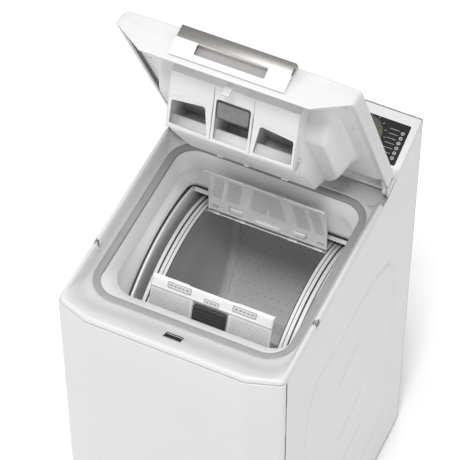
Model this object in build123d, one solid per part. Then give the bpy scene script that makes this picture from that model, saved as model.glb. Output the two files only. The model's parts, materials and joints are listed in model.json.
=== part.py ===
from build123d import *
import os
from math import asin, atan2, cos, degrees, hypot, pi, radians, sin, sqrt, tan

# Top load washing machine, horizontal drum axis along X, loading from the top.
# Millimetres. X to the right, Y to the rear, Z up. The origin is under the middle, on the floor.
# The lid and both drum flaps are modelled closed and then turned to their open rest place.

# ---- cabinet ----
half_width = 200.0
rear_y = 292.0
front_y = -292.0            # flat middle of the bowed front
corner_y = -272.0           # front corners
bow_half = 140.0            # half width of the flat middle
side_top_z = 844.0
console_rear_z = 890.0
console_slope_y = 146.0     # where the side panels start to rise
base_z = 12.0
base_height = 20.0
kick_top_z = 90.0
front_top_z = 834.0
frame_lean = 4.2            # the top frame's front leans back under the closed lid
sheet = 1.2
seam = 0.3                  # joint gap between neighbouring covers

# ---- feet ----
foot_radius = 19.0
foot_pad_height = 8.0
foot_stud_radius = 5.0
foot_inset_x = 32.0
foot_inset_y = 40.0

# ---- loading throat and its seal ----
seal_half_x = 181.0
seal_front_y = -224.0
seal_rear_y = 142.0
seal_corner = 50.0
seal_width = 13.0
seal_top_z = 816.0
seal_height = 6.0
throat_wall = 2.5
lip_y = -171.0
lip_z = 771.0
throat_low_half_x = 150.0
throat_rear_y = 123.0
throat_floor_gap = 8.0      # throat edge above the tub

# ---- lid ----
hinge_y = 156.4
hinge_z = 850.3
lid_open_angle = 65.8
lid_gap = 1.0               # side skirt above the side panels
lid_thickness = 28.5
lid_wall = 2.6
lid_top_front_y = -281.0
lid_top_corner_y = -273.0
rim_z = 812.0
rim_y = -304.0
rim_half = 142.0
roll_radius = 22.5          # round rear edge of the lid about the hinge
cheek_half_x = 193.5
pin_radius = 4.0
pin_clearance = 0.05
ear_thickness = 4.0
ear_radius = 12.0
handle_half_x = 96.0
handle_low_z = 822.0
handle_strip_z = 852.0
finger_half_x = 58.5
finger_low_z = 835.0
finger_depth = 15.0
latch_half_x = 6.0

# ---- dispenser under the lid ----
liner_z = 849.0
liner_front_y = -262.0
liner_rear_y = 122.0
cheek_rib_x = 155.0
disp_half_x = 110.0
disp_wall = 2.2
disp_front_y = -217.0
disp_knee_z = 821.5         # where the front face turns into the sloped window wall
disp_toe_y = -134.0
disp_floor_z = 757.0
groove_front_y = -126.0     # groove that clears the open front flap
groove_rear_y = -100.0
groove_z = 780.0
disp_baffle_y = -66.0       # cross wall that closes the chambers behind their windows
disp_heel_y = 20.0
disp_rear_y = 72.0
disp_rear_z = 800.0
divider_x = 34.0
window_start = 25.0         # along the sloped wall, from the knee
window_end = 102.0
shutter_half_x = 29.0
shutter_length = 28.0
shutter_thickness = 2.0
shutter_gap = 1.5
shutter_pin_radius = 0.9

# ---- tub ----
axis_y = 23.0
axis_z = 478.0
tub_radius = 250.0
tub_wall = 4.0
tub_half = 148.0
tub_split_gap = 2.0
collar_height = 6.0
tub_down = 8.0

# ---- drum ----
drum_radius = 235.0
drum_sheet = 1.4
drum_half = 135.0
end_plate = 4.0
door_angle = 101.5          # middle of the door, from +Y towards +Z
door_half_angle = 32.6
door_half_x = 112.0
flap_half_x = 111.0
flap_angle = 30.9
flap_thickness = 2.0
hinge_inset = 1.2           # degrees from the door edge to the flap hinge
hinge_depth = 4.6           # hinge rod centre under the drum surface
rod_radius = 2.2
rod_clearance = 0.06
knuckle_radius = 4.0
front_flap_lean = 77.0      # direction of the open front flap, from +Y
rear_flap_lean = 96.5
shaft_radius = 12.5
shaft_clearance = 0.05
bearing_radius = 26.0
bearing_width = 15.0
seal_ring_radius = 19.0
drum_pulley_radius = 140.0
pulley_width = 14.0
pulley_gap = 3.0
belt_thickness = 3.5
belt_gap = 0.3

# ---- flap latch ----
button_half_x = 30.5
button_start = 28.0         # from the free edge, along the flap
button_length = 40.0
button_gap = 0.4

# ---- motor and pump ----
motor_y = 132.0
motor_z = 146.0
motor_radius = 58.0
motor_half = 60.0
motor_pulley_radius = 12.0
motor_shaft_radius = 7.0
pump_y = -150.0
pump_z = 66.0
pump_radius = 26.0
pump_mouth_y = -271.0
cap_gap = 0.3

heater_spread = 14.0
heater_radius = 4.0
trough_x0 = 15.0
trough_x1 = 95.0
trough_half = 38.0
trough_depth = 28.0
spout_x = -85.0
spout_y = -60.0

# ---- suspension ----
spring_x = 175.0
spring_dy = 120.0
spring_low_z = 634.0
spring_high_z = 766.0
spring_radius = 9.0
damper_x = 120.0
damper_y = 40.0
damper_radius = 14.0
damper_rod_radius = 7.0
damper_length = 95.0
damper_rod_top = 216.0

# ---- inner hoses and rear connections ----
hose_x = -182.0
hose_y = 262.0
spigot_z = 780.0
spigot_radius = 12.0
valve_x = 150.0
valve_z = 800.0
valve_radius = 13.0
mains_x = -60.0
mains_z = 760.0
mains_radius = 9.0
tube_x = -163.0
tube_y = 250.0
tube_low_z = 486.0
switch_z = 806.0
screw_head = 2.0

# ---- filter door in the kick plate ----
door_x0 = -130.0
door_x1 = -40.0
door_z0 = 22.0
door_z1 = 82.0
door_roll = 1.6             # round lower edge about the hinge line

# ---- flap details ----
flap_lip = 7.0
knuckle_spans = ((40.0, 58.0), (88.0, 104.0))
slot_x0 = 37.5
slot_x1 = 81.0
slot_start = 4.0
slot_width = 5.0
tongue_half_x = 40.0
tongue_length = 12.0
lifter_angles = (185.0, 247.0, 309.0)
lifter_height = 38.0

# ---- console ----
console_front_y = 181.0
console_wall = 2.5
display_half_x = 188.0
display_front_y = 196.0
display_rear_y = 269.0
knob_x = 118.0
knob_y = 237.0
knob_radius = 30.0
knob_height = 3.0

tub_outer = tub_radius + tub_wall
console_slope = degrees(atan2(console_rear_z - side_top_z, rear_y - console_slope_y))
inner_half = half_width - sheet - seam


# ---------- helpers ----------
def rear_skin_y():
    """Outside face of the rear panel; the screw heads stand on it."""
    return rear_y - screw_head


def box(x0, x1, y0, y1, z0, z1):
    size = Box(x1 - x0, y1 - y0, z1 - z0)
    return Pos((x0 + x1) / 2, (y0 + y1) / 2, (z0 + z1) / 2) * size


def rod(radius, x0, x1, y, z):
    """A round bar along X."""
    return Pos((x0 + x1) / 2, y, z) * Rot(0, 90, 0) * Cylinder(radius, abs(x1 - x0))


def upright(radius, x, y, z0, z1):
    return Pos(x, y, (z0 + z1) / 2) * Cylinder(radius, z1 - z0)


def side_face(points):
    """A closed face in the YZ plane at x = 0, from (y, z) points."""
    outline = Polyline(*[(0, y, z) for y, z in points], close=True)
    return make_face(outline)


def across(points, x0, x1):
    """A YZ outline made solid from x0 to x1."""
    return extrude(Pos(x0, 0, 0) * side_face(points), x1 - x0, dir=(1, 0, 0))


def plan(points, z0, z1):
    """An XY outline made solid from z0 to z1."""
    outline = Polyline(*[(x, y, z0) for x, y in points], close=True)
    return extrude(make_face(outline), z1 - z0, dir=(0, 0, 1))


def tapered(low, z0, high, z1):
    """Straight-sided solid between two outlines with the same number of corners."""
    low_face = make_face(Polyline(*[(x, y, z0) for x, y in low], close=True))
    high_face = make_face(Polyline(*[(x, y, z1) for x, y in high], close=True))
    return loft([low_face, high_face], ruled=True)


def rounded_rect(half_x, y0, y1, z, radius):
    shape = RectangleRounded(2 * half_x, y1 - y0, radius)
    return Pos(0, (y0 + y1) / 2, z) * shape


def polar(radius, angle):
    """A (y, z) point about the drum axis, angle in degrees from +Y towards +Z."""
    return axis_y + radius * cos(radians(angle)), axis_z + radius * sin(radians(angle))


def shell_arc(r0, r1, a0, a1, x0, x1):
    """A piece of tube wall about the drum axis, between two radii and two angles."""
    def mark(radius, angle):
        y, z = polar(radius, angle)
        return (x0, y, z)
    mid = (a0 + a1) / 2
    edge = [ThreePointArc(mark(r1, a0), mark(r1, mid), mark(r1, a1)),
            Line(mark(r1, a1), mark(r0, a1)),
            ThreePointArc(mark(r0, a1), mark(r0, mid), mark(r0, a0)),
            Line(mark(r0, a0), mark(r1, a0))]
    return extrude(make_face(Wire(edge)), x1 - x0, dir=(1, 0, 0))


def slope_z(y):
    """Height of the console surface and of the side panels' rising edge."""
    return side_top_z + (y - console_slope_y) * tan(radians(console_slope))


def turned(shape, y, z, angle):
    return shape.rotate(Axis((0, y, z), (1, 0, 0)), angle)


def lid_open(shape):
    return turned(shape, hinge_y, hinge_z, -lid_open_angle)


def write(shape, name):
    solids = shape.solids()
    part = solids[0] if len(solids) == 1 else Compound(children=list(solids))
    part.label = name
    export_step(part, "parts/" + name + ".step")


def front_outline(inset):
    """Bowed front edge from left to right, moved inwards by inset."""
    x = half_width - inset
    return [(-x, corner_y + inset), (-bow_half + inset / 6, front_y + inset),
            (bow_half - inset / 6, front_y + inset), (x, corner_y + inset)]


# ---------- cabinet ----------
def side_panel(side):
    outer = [(corner_y + 3, base_z), (corner_y + 3, side_top_z - 1), (console_slope_y, side_top_z - 1),
             (rear_skin_y() - sheet - seam, slope_z(rear_y) - 2), (rear_skin_y() - sheet - seam, base_z)]
    plate = across(outer, half_width - sheet, half_width)
    field = [(-170, 250), (-170, 640), (-120, 664), (200, 664), (200, 170), (60, 130)]
    groove = across(field, half_width - sheet / 3, half_width + 1)
    inset = [(y + (8 if y < 0 else -8), z + (8 if z < 400 else -8)) for y, z in field]
    plate -= groove - across(inset, half_width - sheet, half_width + 2)
    flange = box(half_width - 14, half_width - sheet, rear_skin_y() - sheet - seam - sheet,
                 rear_skin_y() - sheet - seam, base_z + base_height + 1, spigot_z - 30)
    plate += flange
    return plate if side > 0 else plate.mirror(Plane.YZ)


def front_panel():
    x_in = half_width - sheet - seam
    z0, z1 = kick_top_z + 1, front_top_z
    points = front_outline(0) + [(half_width, corner_y + 2.5), (x_in - 1, corner_y + 2.5)]
    inner = front_outline(sheet)
    inner[0] = (-(x_in - 1), corner_y + sheet + 1)
    inner[-1] = (x_in - 1, corner_y + sheet + 1)
    ring = points + inner[::-1] + [(-(x_in - 1), corner_y + 2.5), (-half_width, corner_y + 2.5)]
    skin = plan(ring, z0, z1)
    for s in (-1, 1):
        x0, x1 = sorted((s * (x_in - 1), s * (x_in - 2.2)))
        skin += box(x0, x1, corner_y + 1, corner_y + 30, z0, z1 - 40)
    return skin


def rear_panel():
    x = half_width
    y1 = rear_skin_y()
    plate = box(-x, x, y1 - sheet, y1, base_z, console_rear_z - 2)
    for x0, z0, r in ((valve_x, valve_z, valve_radius + 0.5), (hose_x, spigot_z, spigot_radius + 0.5),
                      (mains_x, mains_z, mains_radius + 0.5)):
        plate -= Pos(x0, rear_y, z0) * Rot(90, 0, 0) * Cylinder(r, 20)
    return plate


def base_frame():
    x = inner_half
    y0, y1 = corner_y + 6, rear_skin_y() - sheet - seam - 2
    z0, z1 = base_z, base_z + base_height
    ring = box(-x, x, y0, y1, z0, z1) - box(-x + 26, x - 26, y0 + 26, y1 - 26, z0 - 1, z1 + 1)
    cross = box(-x + 20, x - 20, pump_y - 45, pump_y + 45, z0, z0 + 12)
    damper = box(-x + 20, x - 20, damper_y - 16, damper_y + 16, z0, z1)
    frame = ring + cross + damper
    for sx in (-1, 1):
        for y in foot_ys():
            cx = sx * (half_width - foot_inset_x)
            frame += upright(13, cx, y, z0, z1 + 6)
            frame -= upright(foot_stud_radius + 0.05, cx, y, z0 - 1, z1 + 8)
    return frame


def foot_ys():
    return (corner_y + foot_inset_y, rear_y - foot_inset_y)


def kick_plate():
    z0, z1 = base_z, kick_top_z
    x_in = half_width - sheet - seam
    outer = front_outline(0.8)
    inner = front_outline(0.8 + 2.0)
    ring = [(-x_in, corner_y + 2.5), (-x_in, corner_y + 1)] + outer[1:3] + [(x_in, corner_y + 1)]
    ring += [(x_in, corner_y + 2.5), (x_in - 3, corner_y + 3)] + inner[1:3][::-1] + [(-x_in + 3,
            corner_y + 3)]
    plate = plan(ring, z0, z1)
    door = box(door_x0, door_x1, front_y - 5, front_y + 6, door_z0, door_z1)
    return plate - door


def filter_door():
    g = 0.5
    y0 = front_y + 0.8
    plate = box(door_x0 + g, door_x1 - g, y0, y0 + 2.0, door_z0 + g + door_roll, door_z1 - g)
    return plate + rod(door_roll, door_x0 + g, door_x1 - g, y0 + door_roll, door_z0 + g + door_roll)


def pump_filter_cap():
    x = (door_x0 + door_x1) / 2
    disc = Pos(x, pump_mouth_y - cap_gap - 4, pump_z - 8) * Rot(90, 0, 0) * Cylinder(24, 8)
    grip = box(x - 3, x + 3, front_y + 5, front_y + 13, pump_z - 26, pump_z + 10)
    screen = Pos(x, front_y + 50, pump_z - 8) * Rot(90, 0, 0) * Cylinder(15, 60)
    return disc + grip + screen


def drain_pump():
    x = (door_x0 + door_x1) / 2
    z = pump_z - 8
    housing = Pos(x, pump_mouth_y + 39, z) * Rot(90, 0, 0) * Cylinder(24, 78)
    housing -= Pos(x, pump_mouth_y + 35, z) * Rot(90, 0, 0) * Cylinder(20, 78)
    chamber = rod(pump_radius, x - 5, x + 30, pump_y, z)
    neck = box(x - 5, x + 5, front_y + 90, pump_y, z - 8, z + 8) - rod(pump_radius - 1, x - 9, x +
            27, pump_y, z)
    motor = rod(pump_radius - 4, x + 30, x + 75, pump_y, z)
    seat = box(x + 34, x + 70, pump_y - 20, pump_y + 20, base_z + 12, z)
    inlet = upright(13, x, front_y + 75, z + 18, z + 40) - upright(10, x, front_y + 75, z + 10, z + 50)
    outlet = upright(8, x + 14, pump_y + 18, z + 12, z + 44) - upright(6, x + 14, pump_y + 18, z +
            24, z + 50)
    pump = housing + chamber + neck + motor + seat + inlet + outlet
    pump -= rod(pump_radius - 3, x - 1, x + 26, pump_y, z)
    return pump - rod(2.05, x - 4, x + 29, pump_y, z)


def pump_impeller():
    x = (door_x0 + door_x1) / 2
    z = pump_z - 8
    wheel = rod(7, x + 3, x + 22, pump_y, z)
    for k in range(6):
        blade = box(x + 4, x + 21, pump_y - 1, pump_y + 1, z + 5, z + pump_radius - 5)
        wheel += turned(blade, pump_y, z, 60 * k)
    return wheel + rod(2.0, x - 2, x + 28, pump_y, z)


def foot(cx, cy):
    pad = upright(foot_radius, cx, cy, 0, foot_pad_height)
    nut = upright(9, cx, cy, foot_pad_height, base_z)
    stud = upright(foot_stud_radius, cx, cy, base_z, base_z + base_height + 10)
    return pad + nut + stud


def top_frame():
    x = inner_half
    z0 = seal_top_z - seal_height - 4
    y1 = seal_rear_y - 8
    outline = front_outline(sheet + 0.6)
    outline = [(-x, corner_y + 6)] + outline[1:3] + [(x, corner_y + 6), (x, y1 + 12), (-x, y1 + 12)]
    body = plan(outline, z0, front_top_z + seam)
    outline = front_outline(frame_lean + 1)
    outline = [(-x, corner_y + 6)] + outline[1:3] + [(x, corner_y + 6), (x, y1 + 12), (-x, y1 + 12)]
    body += plan(outline, front_top_z, side_top_z - 1)
    body += tapered(frame_rim(0), front_top_z + seam, frame_rim(frame_lean), side_top_z)
    low = rounded_rect(seal_half_x + 1, seal_front_y - 1, seal_rear_y + 1, seal_top_z + 0.5, seal_corner)
    high = rounded_rect(x - 4, corner_y - 4, seal_rear_y + 6, side_top_z + 0.1, seal_corner - 10)
    body -= loft([low, high])
    body -= extrude(rounded_rect(seal_half_x, seal_front_y, seal_rear_y, z0 - 1, seal_corner), 60)
    body -= box(-x - 1, x + 1, hinge_y - roll_radius - 1, seal_rear_y + 30, seal_top_z, side_top_z + 5)
    slot_y = (front_y + seal_front_y) / 2 + 1
    body -= box(-latch_half_x - 1.5, latch_half_x + 1.5, slot_y - 6, slot_y + 6, z0 - 5, side_top_z + 5)
    return body


def frame_rim(inset):
    """Outline of the frame's front band, moved inwards by inset."""
    x = half_width - inset
    y = corner_y + 2.5 + inset
    return [(-x, y)] + front_outline(inset) + [(x, y)]


def lid_lock():
    slot_y = (front_y + seal_front_y) / 2 + 1
    z1 = seal_top_z - seal_height - 4
    case = box(-30, 30, slot_y - 12, slot_y + 14, z1 - 30, z1)
    return case - box(-latch_half_x - 2, latch_half_x + 2, slot_y - 7, slot_y + 7, z1 - 22, z1 + 1)


def throat_stage(grow):
    """Solid filling of the throat: a sloped mouth over a steeper neck."""
    top_z = seal_top_z - seal_height + (1 if grow == 0 else 0)
    in_x = seal_half_x - seal_width
    mouth = rounded_rect(in_x + grow, seal_front_y + seal_width - grow, seal_rear_y - seal_width + grow,
                         top_z, seal_corner - seal_width + grow)
    waist_x = in_x - 7 + grow
    waist = rounded_rect(waist_x, lip_y - grow, throat_rear_y + 4 + grow, lip_z, 42 + grow)
    bottom = rounded_rect(throat_low_half_x + grow, lip_y - grow, throat_rear_y + grow, 600, 14 + grow)
    return loft([waist, mouth]) + loft([bottom, waist])


def throat_bowl():
    flange_z = seal_top_z - seal_height
    wall = throat_stage(throat_wall)
    flange = extrude(rounded_rect(seal_half_x - 0.2, seal_front_y + 0.2, seal_rear_y - 0.2, flange_z - 3,
                                  seal_corner), 3)
    bowl = wall + flange - throat_stage(0)
    edge = tub_outer + collar_height + throat_floor_gap
    return bowl - rod(edge, -300, 300, axis_y, axis_z)


def opening_seal():
    z0 = seal_top_z - seal_height
    outer = rounded_rect(seal_half_x - 0.2, seal_front_y + 0.2, seal_rear_y - 0.2, z0, seal_corner)
    inner = rounded_rect(seal_half_x - seal_width, seal_front_y + seal_width, seal_rear_y -
                         seal_width, z0,
                         seal_corner - seal_width)
    return extrude(outer, seal_height) - extrude(inner, seal_height)


# ---------- console ----------
def console_housing():
    x = inner_half
    y0, y1 = console_front_y, rear_skin_y() - sheet - seam
    outer = [(y0, slope_z(y0)), (y1, slope_z(y1)), (y1, 830), (y0, 830)]
    body = across(outer, -x, x)
    t = console_wall
    inner = [(y0 + t, slope_z(y0) - t), (y1 - t, slope_z(y1) - t - 1), (y1 - t, 829), (y0 + t, 829)]
    body -= across(inner, -x + t, x - t)
    for s in (-1, 1):
        a, b = sorted((s * (x - ear_thickness), s * x))
        ear = rod(ear_radius, a, b, hinge_y, hinge_z)
        ear += box(a, b, hinge_y, y0 + 4, 832, hinge_z + 3)
        body += ear
        body -= rod(pin_radius + pin_clearance, a - 1, b + 1, hinge_y, hinge_z)
    panel = across([(display_front_y, slope_z(display_front_y) - 1.5), (display_rear_y,
            slope_z(display_rear_y) - 1.5),
                    (display_rear_y, 920), (display_front_y, 920)], -display_half_x, display_half_x)
    body -= panel
    body -= on_slope(knob_x, knob_y) * Cylinder(4, 30)
    body += box(-x, x, y1 - 3, y1, 800, 832) - box(valve_x - 20, valve_x + 20, y1 - 4, y1 + 1, 780, 840)
    return body


def on_slope(x, y):
    return Pos(x, y, slope_z(y)) * Rot(console_slope, 0, 0)


def display_panel():
    g = 0.2
    y0, y1 = display_front_y + g, display_rear_y - g
    face = across([(y0, slope_z(y0) - 1.4), (y1, slope_z(y1) - 1.4), (y1, slope_z(y1) - 0.1), (y0,
            slope_z(y0) - 0.1)],
                  -display_half_x + g, display_half_x - g)
    return face - on_slope(knob_x, knob_y) * Cylinder(4, 30)


def programme_knob():
    place = on_slope(knob_x, knob_y)
    disc = place * Pos(0, 0, 0.2 + knob_height / 2) * Cylinder(knob_radius, knob_height)
    grip = place * Pos(0, 0, 0.2 + knob_height + 1) * Box(6, 2 * knob_radius - 6, 2.4)
    stem = place * Pos(0, 0, -6) * Cylinder(3.9, 13)
    return disc + grip + stem


def control_board():
    y0, y1 = display_front_y + 6, display_rear_y
    board = across([(y0, slope_z(y0) - 13), (y1, slope_z(y1) - 13), (y1, slope_z(y1) - 15), (y0,
            slope_z(y0) - 15)],
                   -150, 150)
    for x in (-120, 0, 90):
        for y in (y0 + 8, y1 - 8):
            board += Pos(x, y, slope_z(y) - 9.6) * Cylinder(3, 11)
    board += across([(215, slope_z(215) - 14), (240, slope_z(240) - 14), (240, 836), (215, 836)],
                    -100, -50)
    return board - on_slope(knob_x, knob_y) * Cylinder(5, 60)


# ---------- lid (closed place) ----------
def lid_blank(inset):
    top = lid_top_z() - inset
    bottom = rim_z - (0 if inset == 0 else 5)
    fall = (lid_top_z() - bottom) / (lid_top_z() - rim_z)
    y_mid = lid_top_front_y + (rim_y - lid_top_front_y) * fall
    y_cor = lid_top_corner_y + (rim_y - 3 - lid_top_corner_y) * fall
    x = half_width - inset
    rear = hinge_y - roll_radius - 4
    upper = [(-x, lid_top_corner_y + inset), (-rim_half, lid_top_front_y + inset),
             (rim_half, lid_top_front_y + inset), (x, lid_top_corner_y + inset), (x, rear), (-x, rear)]
    lower = [(-x, y_cor + inset), (-rim_half, y_mid + inset), (rim_half, y_mid + inset), (x,
            y_cor + inset),
             (x, rear), (-x, rear)]
    return tapered(lower, bottom, upper, top)


def lid_top_z():
    return side_top_z + lid_gap + lid_thickness


def lid_shell():
    skirt_z = side_top_z + lid_gap
    body = lid_blank(0) - lid_blank(lid_wall)
    cut = Polyline((-rim_half, -400, rim_z), (rim_half, -400, rim_z), (half_width, -400, skirt_z),
                   (half_width + 9, -400, skirt_z), (half_width + 9, -400, 700), (-half_width - 9,
                           -400, 700),
                   (-half_width - 9, -400, skirt_z), (-half_width, -400, skirt_z), close=True)
    body -= extrude(make_face(cut), 900, dir=(0, 1, 0))
    body -= box(-300, 300, lid_top_corner_y + 6, 400, 700, skirt_z)
    rear = hinge_y - roll_radius - 4
    x = cheek_half_x
    roof = box(-x, x, rear - 6, hinge_y, lid_top_z() - lid_wall, lid_top_z())
    roll = rod(roll_radius, -x, x, hinge_y, hinge_z) - rod(roll_radius - lid_wall, -x, x, hinge_y,
                                                           hinge_z)
    roll &= box(-x, x, hinge_y, hinge_y + 40, hinge_z, hinge_z + 40)
    roof += roll
    for s in (-1, 1):
        a, b = sorted((s * (x - 6), s * x))
        lug = rod(ear_radius, a, b, hinge_y, hinge_z)
        lug += box(a, b, rear - 6, hinge_y, hinge_z - 4, lid_top_z() - 1)
        lug += box(a, b, hinge_y - 8, hinge_y + 8, hinge_z, lid_top_z() - 1)
        a2, b2 = sorted((s * (x - 6), s * half_width))
        lug += box(a2, b2, rear - 3, rear, skirt_z, lid_top_z() - 1)
        roof += lug
    body += roof
    for s in (-1, 1):
        body -= rod(pin_radius, s * (x - 7), s * (x + 7), hinge_y, hinge_z)
    return body


def lid_hinge_pins():
    pins = []
    for s in (-1, 1):
        a, b = sorted((s * (cheek_half_x - 6), s * (inner_half - 0.5)))
        pins.append(rod(pin_radius, a, b, hinge_y, hinge_z))
    return Compound(children=[p.solid() for p in pins])




def lid_liner():
    x = half_width - lid_wall - 1
    plate = box(-x, x, liner_front_y, liner_rear_y, liner_z, liner_z + 2.5)
    edge = [(liner_front_y, liner_z), (liner_front_y, lid_top_z() - lid_wall), (liner_front_y +
            2.5, lid_top_z() - lid_wall),
            (liner_front_y + 2.5, liner_z)]
    plate += across(edge, -x, x)
    for s in (-1, 1):
        a, b = sorted((s * (x - 2.5), s * x))
        plate += box(a, b, liner_front_y, liner_rear_y, liner_z, lid_top_z() - lid_wall)
        a, b = sorted((s * cheek_rib_x, s * (cheek_rib_x + 3)))
        low_z = seal_top_z + 2
        plate += across([(-190, liner_z), (-160, 812), (60, 806), (100, low_z), (liner_rear_y, low_z),
                         (liner_rear_y, liner_z)], a, b)
    return plate


def dispenser_profile(grow):
    """Side outline of the three-chamber dispenser; grow shrinks it for the inside."""
    g = grow
    top = liner_z - g
    return [(disp_front_y + g, top), (disp_front_y + g, disp_knee_z + 0.6 * g),
            (disp_toe_y + 0.4 * g, disp_floor_z + g), (groove_front_y - g, disp_floor_z + g),
            (groove_front_y - g, groove_z + g), (groove_rear_y + g, groove_z + g),
            (groove_rear_y + g, disp_floor_z + g), (disp_heel_y - g, disp_floor_z + g),
            (disp_rear_y - g, disp_rear_z + 0.4 * g), (disp_rear_y - g, top)]


def on_window_wall(along, inward):
    """Point (y, z) on the sloped wall: distance from the knee, then depth into the dispenser."""
    dy, dz = disp_toe_y - disp_front_y, disp_floor_z - disp_knee_z
    n = hypot(dy, dz)
    return (disp_front_y + (along * dy - inward * dz) / n, disp_knee_z + (along * dz + inward * dy) / n)


def wall_strip(a0, a1, d0, d1, x0, x1):
    """Slab that lies along the sloped wall from a0 to a1 and from depth d0 to d1."""
    corners = [on_window_wall(a, d) for a, d in ((a0, d0), (a1, d0), (a1, d1), (a0, d1))]
    return across(corners, x0, x1)


def shutter_hinge():
    half = shutter_thickness / 2
    return on_window_wall(window_start + shutter_gap + half, half)


def window_spans():
    half = shutter_half_x + 0.5
    inner = divider_x + 6
    return ((-disp_half_x + 6, -inner), (-half, half), (inner, disp_half_x - 6))


def dispenser_housing():
    outer = across(dispenser_profile(0), -disp_half_x, disp_half_x)
    inner = across(dispenser_profile(disp_wall), -disp_half_x + disp_wall, disp_half_x - disp_wall)
    body = outer - inner
    for x in (-divider_x, divider_x):
        body += across(dispenser_profile(disp_wall * 0.9), x - 1.2, x + 1.2)
    for x0, x1 in window_spans():
        body -= wall_strip(window_start, window_end, -2, 6, x0, x1)
    half_wall = disp_wall / 2
    body += outer & box(-disp_half_x, disp_half_x, disp_baffle_y - half_wall, disp_baffle_y + half_wall,
                        disp_floor_z, liner_z)
    y, z = shutter_hinge()
    for s in (-1, 1):
        a, b = sorted((s * (shutter_half_x + 0.5), s * divider_x))
        body += rod(2.2, a, b, y, z)
    body -= rod(shutter_pin_radius + pin_clearance, -divider_x + 0.5, divider_x - 0.5, y, z)
    return body


def dispenser_flap():
    """Small hinged shutter over the upper part of the middle window."""
    start = window_start + shutter_gap
    plate = wall_strip(start, start + shutter_length, 0, shutter_thickness, -shutter_half_x,
                       shutter_half_x)
    y, z = shutter_hinge()
    return plate + rod(shutter_pin_radius, -shutter_half_x - 3, shutter_half_x + 3, y, z)


def handle_bracket():
    skin_y = lid_top_front_y + lid_wall
    body = across([(rim_y, handle_low_z), (rim_y, lid_top_z()), (skin_y - 1.5, lid_top_z()),
                   (rim_y + 1.6, handle_low_z)], -handle_half_x, handle_half_x)
    body -= lid_blank(0)
    body -= box(-finger_half_x, finger_half_x, rim_y - 1, rim_y + finger_depth, finger_low_z,
                handle_strip_z - 1)
    body -= box(-400, 400, rim_y - 1, rim_y + 1.2, handle_strip_z, 900)
    return body


def handle_trim():
    t = 1.2
    face = box(-handle_half_x, handle_half_x, rim_y, rim_y + t, handle_strip_z, lid_top_z())
    roof = box(-handle_half_x, handle_half_x, rim_y, lid_top_front_y, lid_top_z(), lid_top_z() + t)
    return face + roof


def latch_hook():
    slot_y = (front_y + seal_front_y) / 2 + 1
    y0 = slot_y - 2.5
    stem = box(-latch_half_x, latch_half_x, y0, y0 + 5, 800, liner_z)
    tooth = box(-latch_half_x, latch_half_x, y0 - 2, y0 + 5, 800, 805)
    foot_plate = box(-14, 14, y0 - 3, y0 + 9, liner_z - 2.5, liner_z)
    return stem + tooth + foot_plate


# ---------- tub ----------
def tub_opening():
    front = degrees(atan2(sqrt(tub_outer ** 2 - (lip_y - axis_y) ** 2), lip_y - axis_y))
    rear = degrees(atan2(sqrt(tub_outer ** 2 - (throat_rear_y - axis_y) ** 2), throat_rear_y - axis_y))
    return rear, front


def tub_half_shell(side):
    gap = tub_split_gap / 2
    wall = rod(tub_outer, gap, tub_half + tub_wall, axis_y, axis_z)
    wall -= rod(tub_radius, gap - 1, tub_half, axis_y, axis_z)
    boss_out = tub_half + tub_wall + bearing_width
    wall += rod(bearing_radius + 6, tub_half, boss_out, axis_y, axis_z)
    for k in range(8):
        rib = box(tub_half + tub_wall, tub_half + tub_wall + 5, axis_y - 2, axis_y + 2, axis_z +
                  20, axis_z + tub_radius - 22)
        wall += turned(rib, axis_y, axis_z, 45 * k + 22.5)
    wall -= rod(bearing_radius, boss_out - bearing_width, boss_out + 1, axis_y, axis_z)
    wall -= rod(seal_ring_radius, tub_half - 1, boss_out, axis_y, axis_z)
    rear, front = tub_opening()
    wall -= shell_arc(tub_radius - 30, tub_outer + 1, rear, front, -1, tub_half - 3)
    rim = shell_arc(tub_outer - 1, tub_outer + collar_height, rear - 1, front + 1, gap, tub_half + 1)
    rim -= shell_arc(tub_outer - 3, tub_outer + collar_height + 2, rear, front, -1, tub_half - 3)
    wall += rim
    flange = rod(tub_outer + 9, gap, gap + 5, axis_y, axis_z) - rod(tub_outer - 1, 0, gap + 6,
            axis_y, axis_z)
    flange -= shell_arc(tub_radius, tub_outer + 12, rear - 3, front + 3, -1, 20)
    wall += flange
    return wall if side > 0 else wall.mirror(Plane.YZ)



def tub_left():
    """Left half with the bearing boss, the drain spout and the spring lugs."""
    shell = tub_half_shell(-1)
    spout_top = axis_z - sqrt(tub_outer ** 2 - (spout_y - axis_y) ** 2)
    spout = upright(16, spout_x, spout_y, spout_top - 18, spout_top + 14)
    spout -= rod(tub_radius, -300, 300, axis_y, axis_z)
    spout -= upright(12, spout_x, spout_y, spout_top - 30, spout_top + 10)
    shell -= upright(12, spout_x, spout_y, spout_top - 30, spout_top + 30)
    stub = box(tube_x - 8, -(tub_half + tub_wall - 2), tube_y - 8, tube_y + 8, tube_low_z - 12,
               tube_low_z)
    return shell + spout + stub + tub_lugs(-1)


def tub_right():
    """Right half with the bearing boss, the heater trough and the spring lugs."""
    shell = tub_half_shell(1)
    z0 = axis_z - tub_outer - trough_depth
    trough = box(trough_x0, trough_x1, axis_y - trough_half, axis_y + trough_half, z0, axis_z -
                 tub_radius + 20)
    trough -= rod(tub_radius, -300, 300, axis_y, axis_z)
    hollow = box(trough_x0 + 4, trough_x1 - 4, axis_y - trough_half + 4, axis_y + trough_half - 4,
                 z0 + 4,
                 axis_z - tub_radius + 25)
    body = shell + trough - hollow + tub_lugs(1)
    for dy in (-heater_spread, heater_spread):
        body -= rod(heater_radius, trough_x1 - 5, trough_x1 + 5, axis_y + dy, heater_z())
    return body


def heater_z():
    return axis_z - tub_outer - trough_depth / 2 + 3


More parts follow.
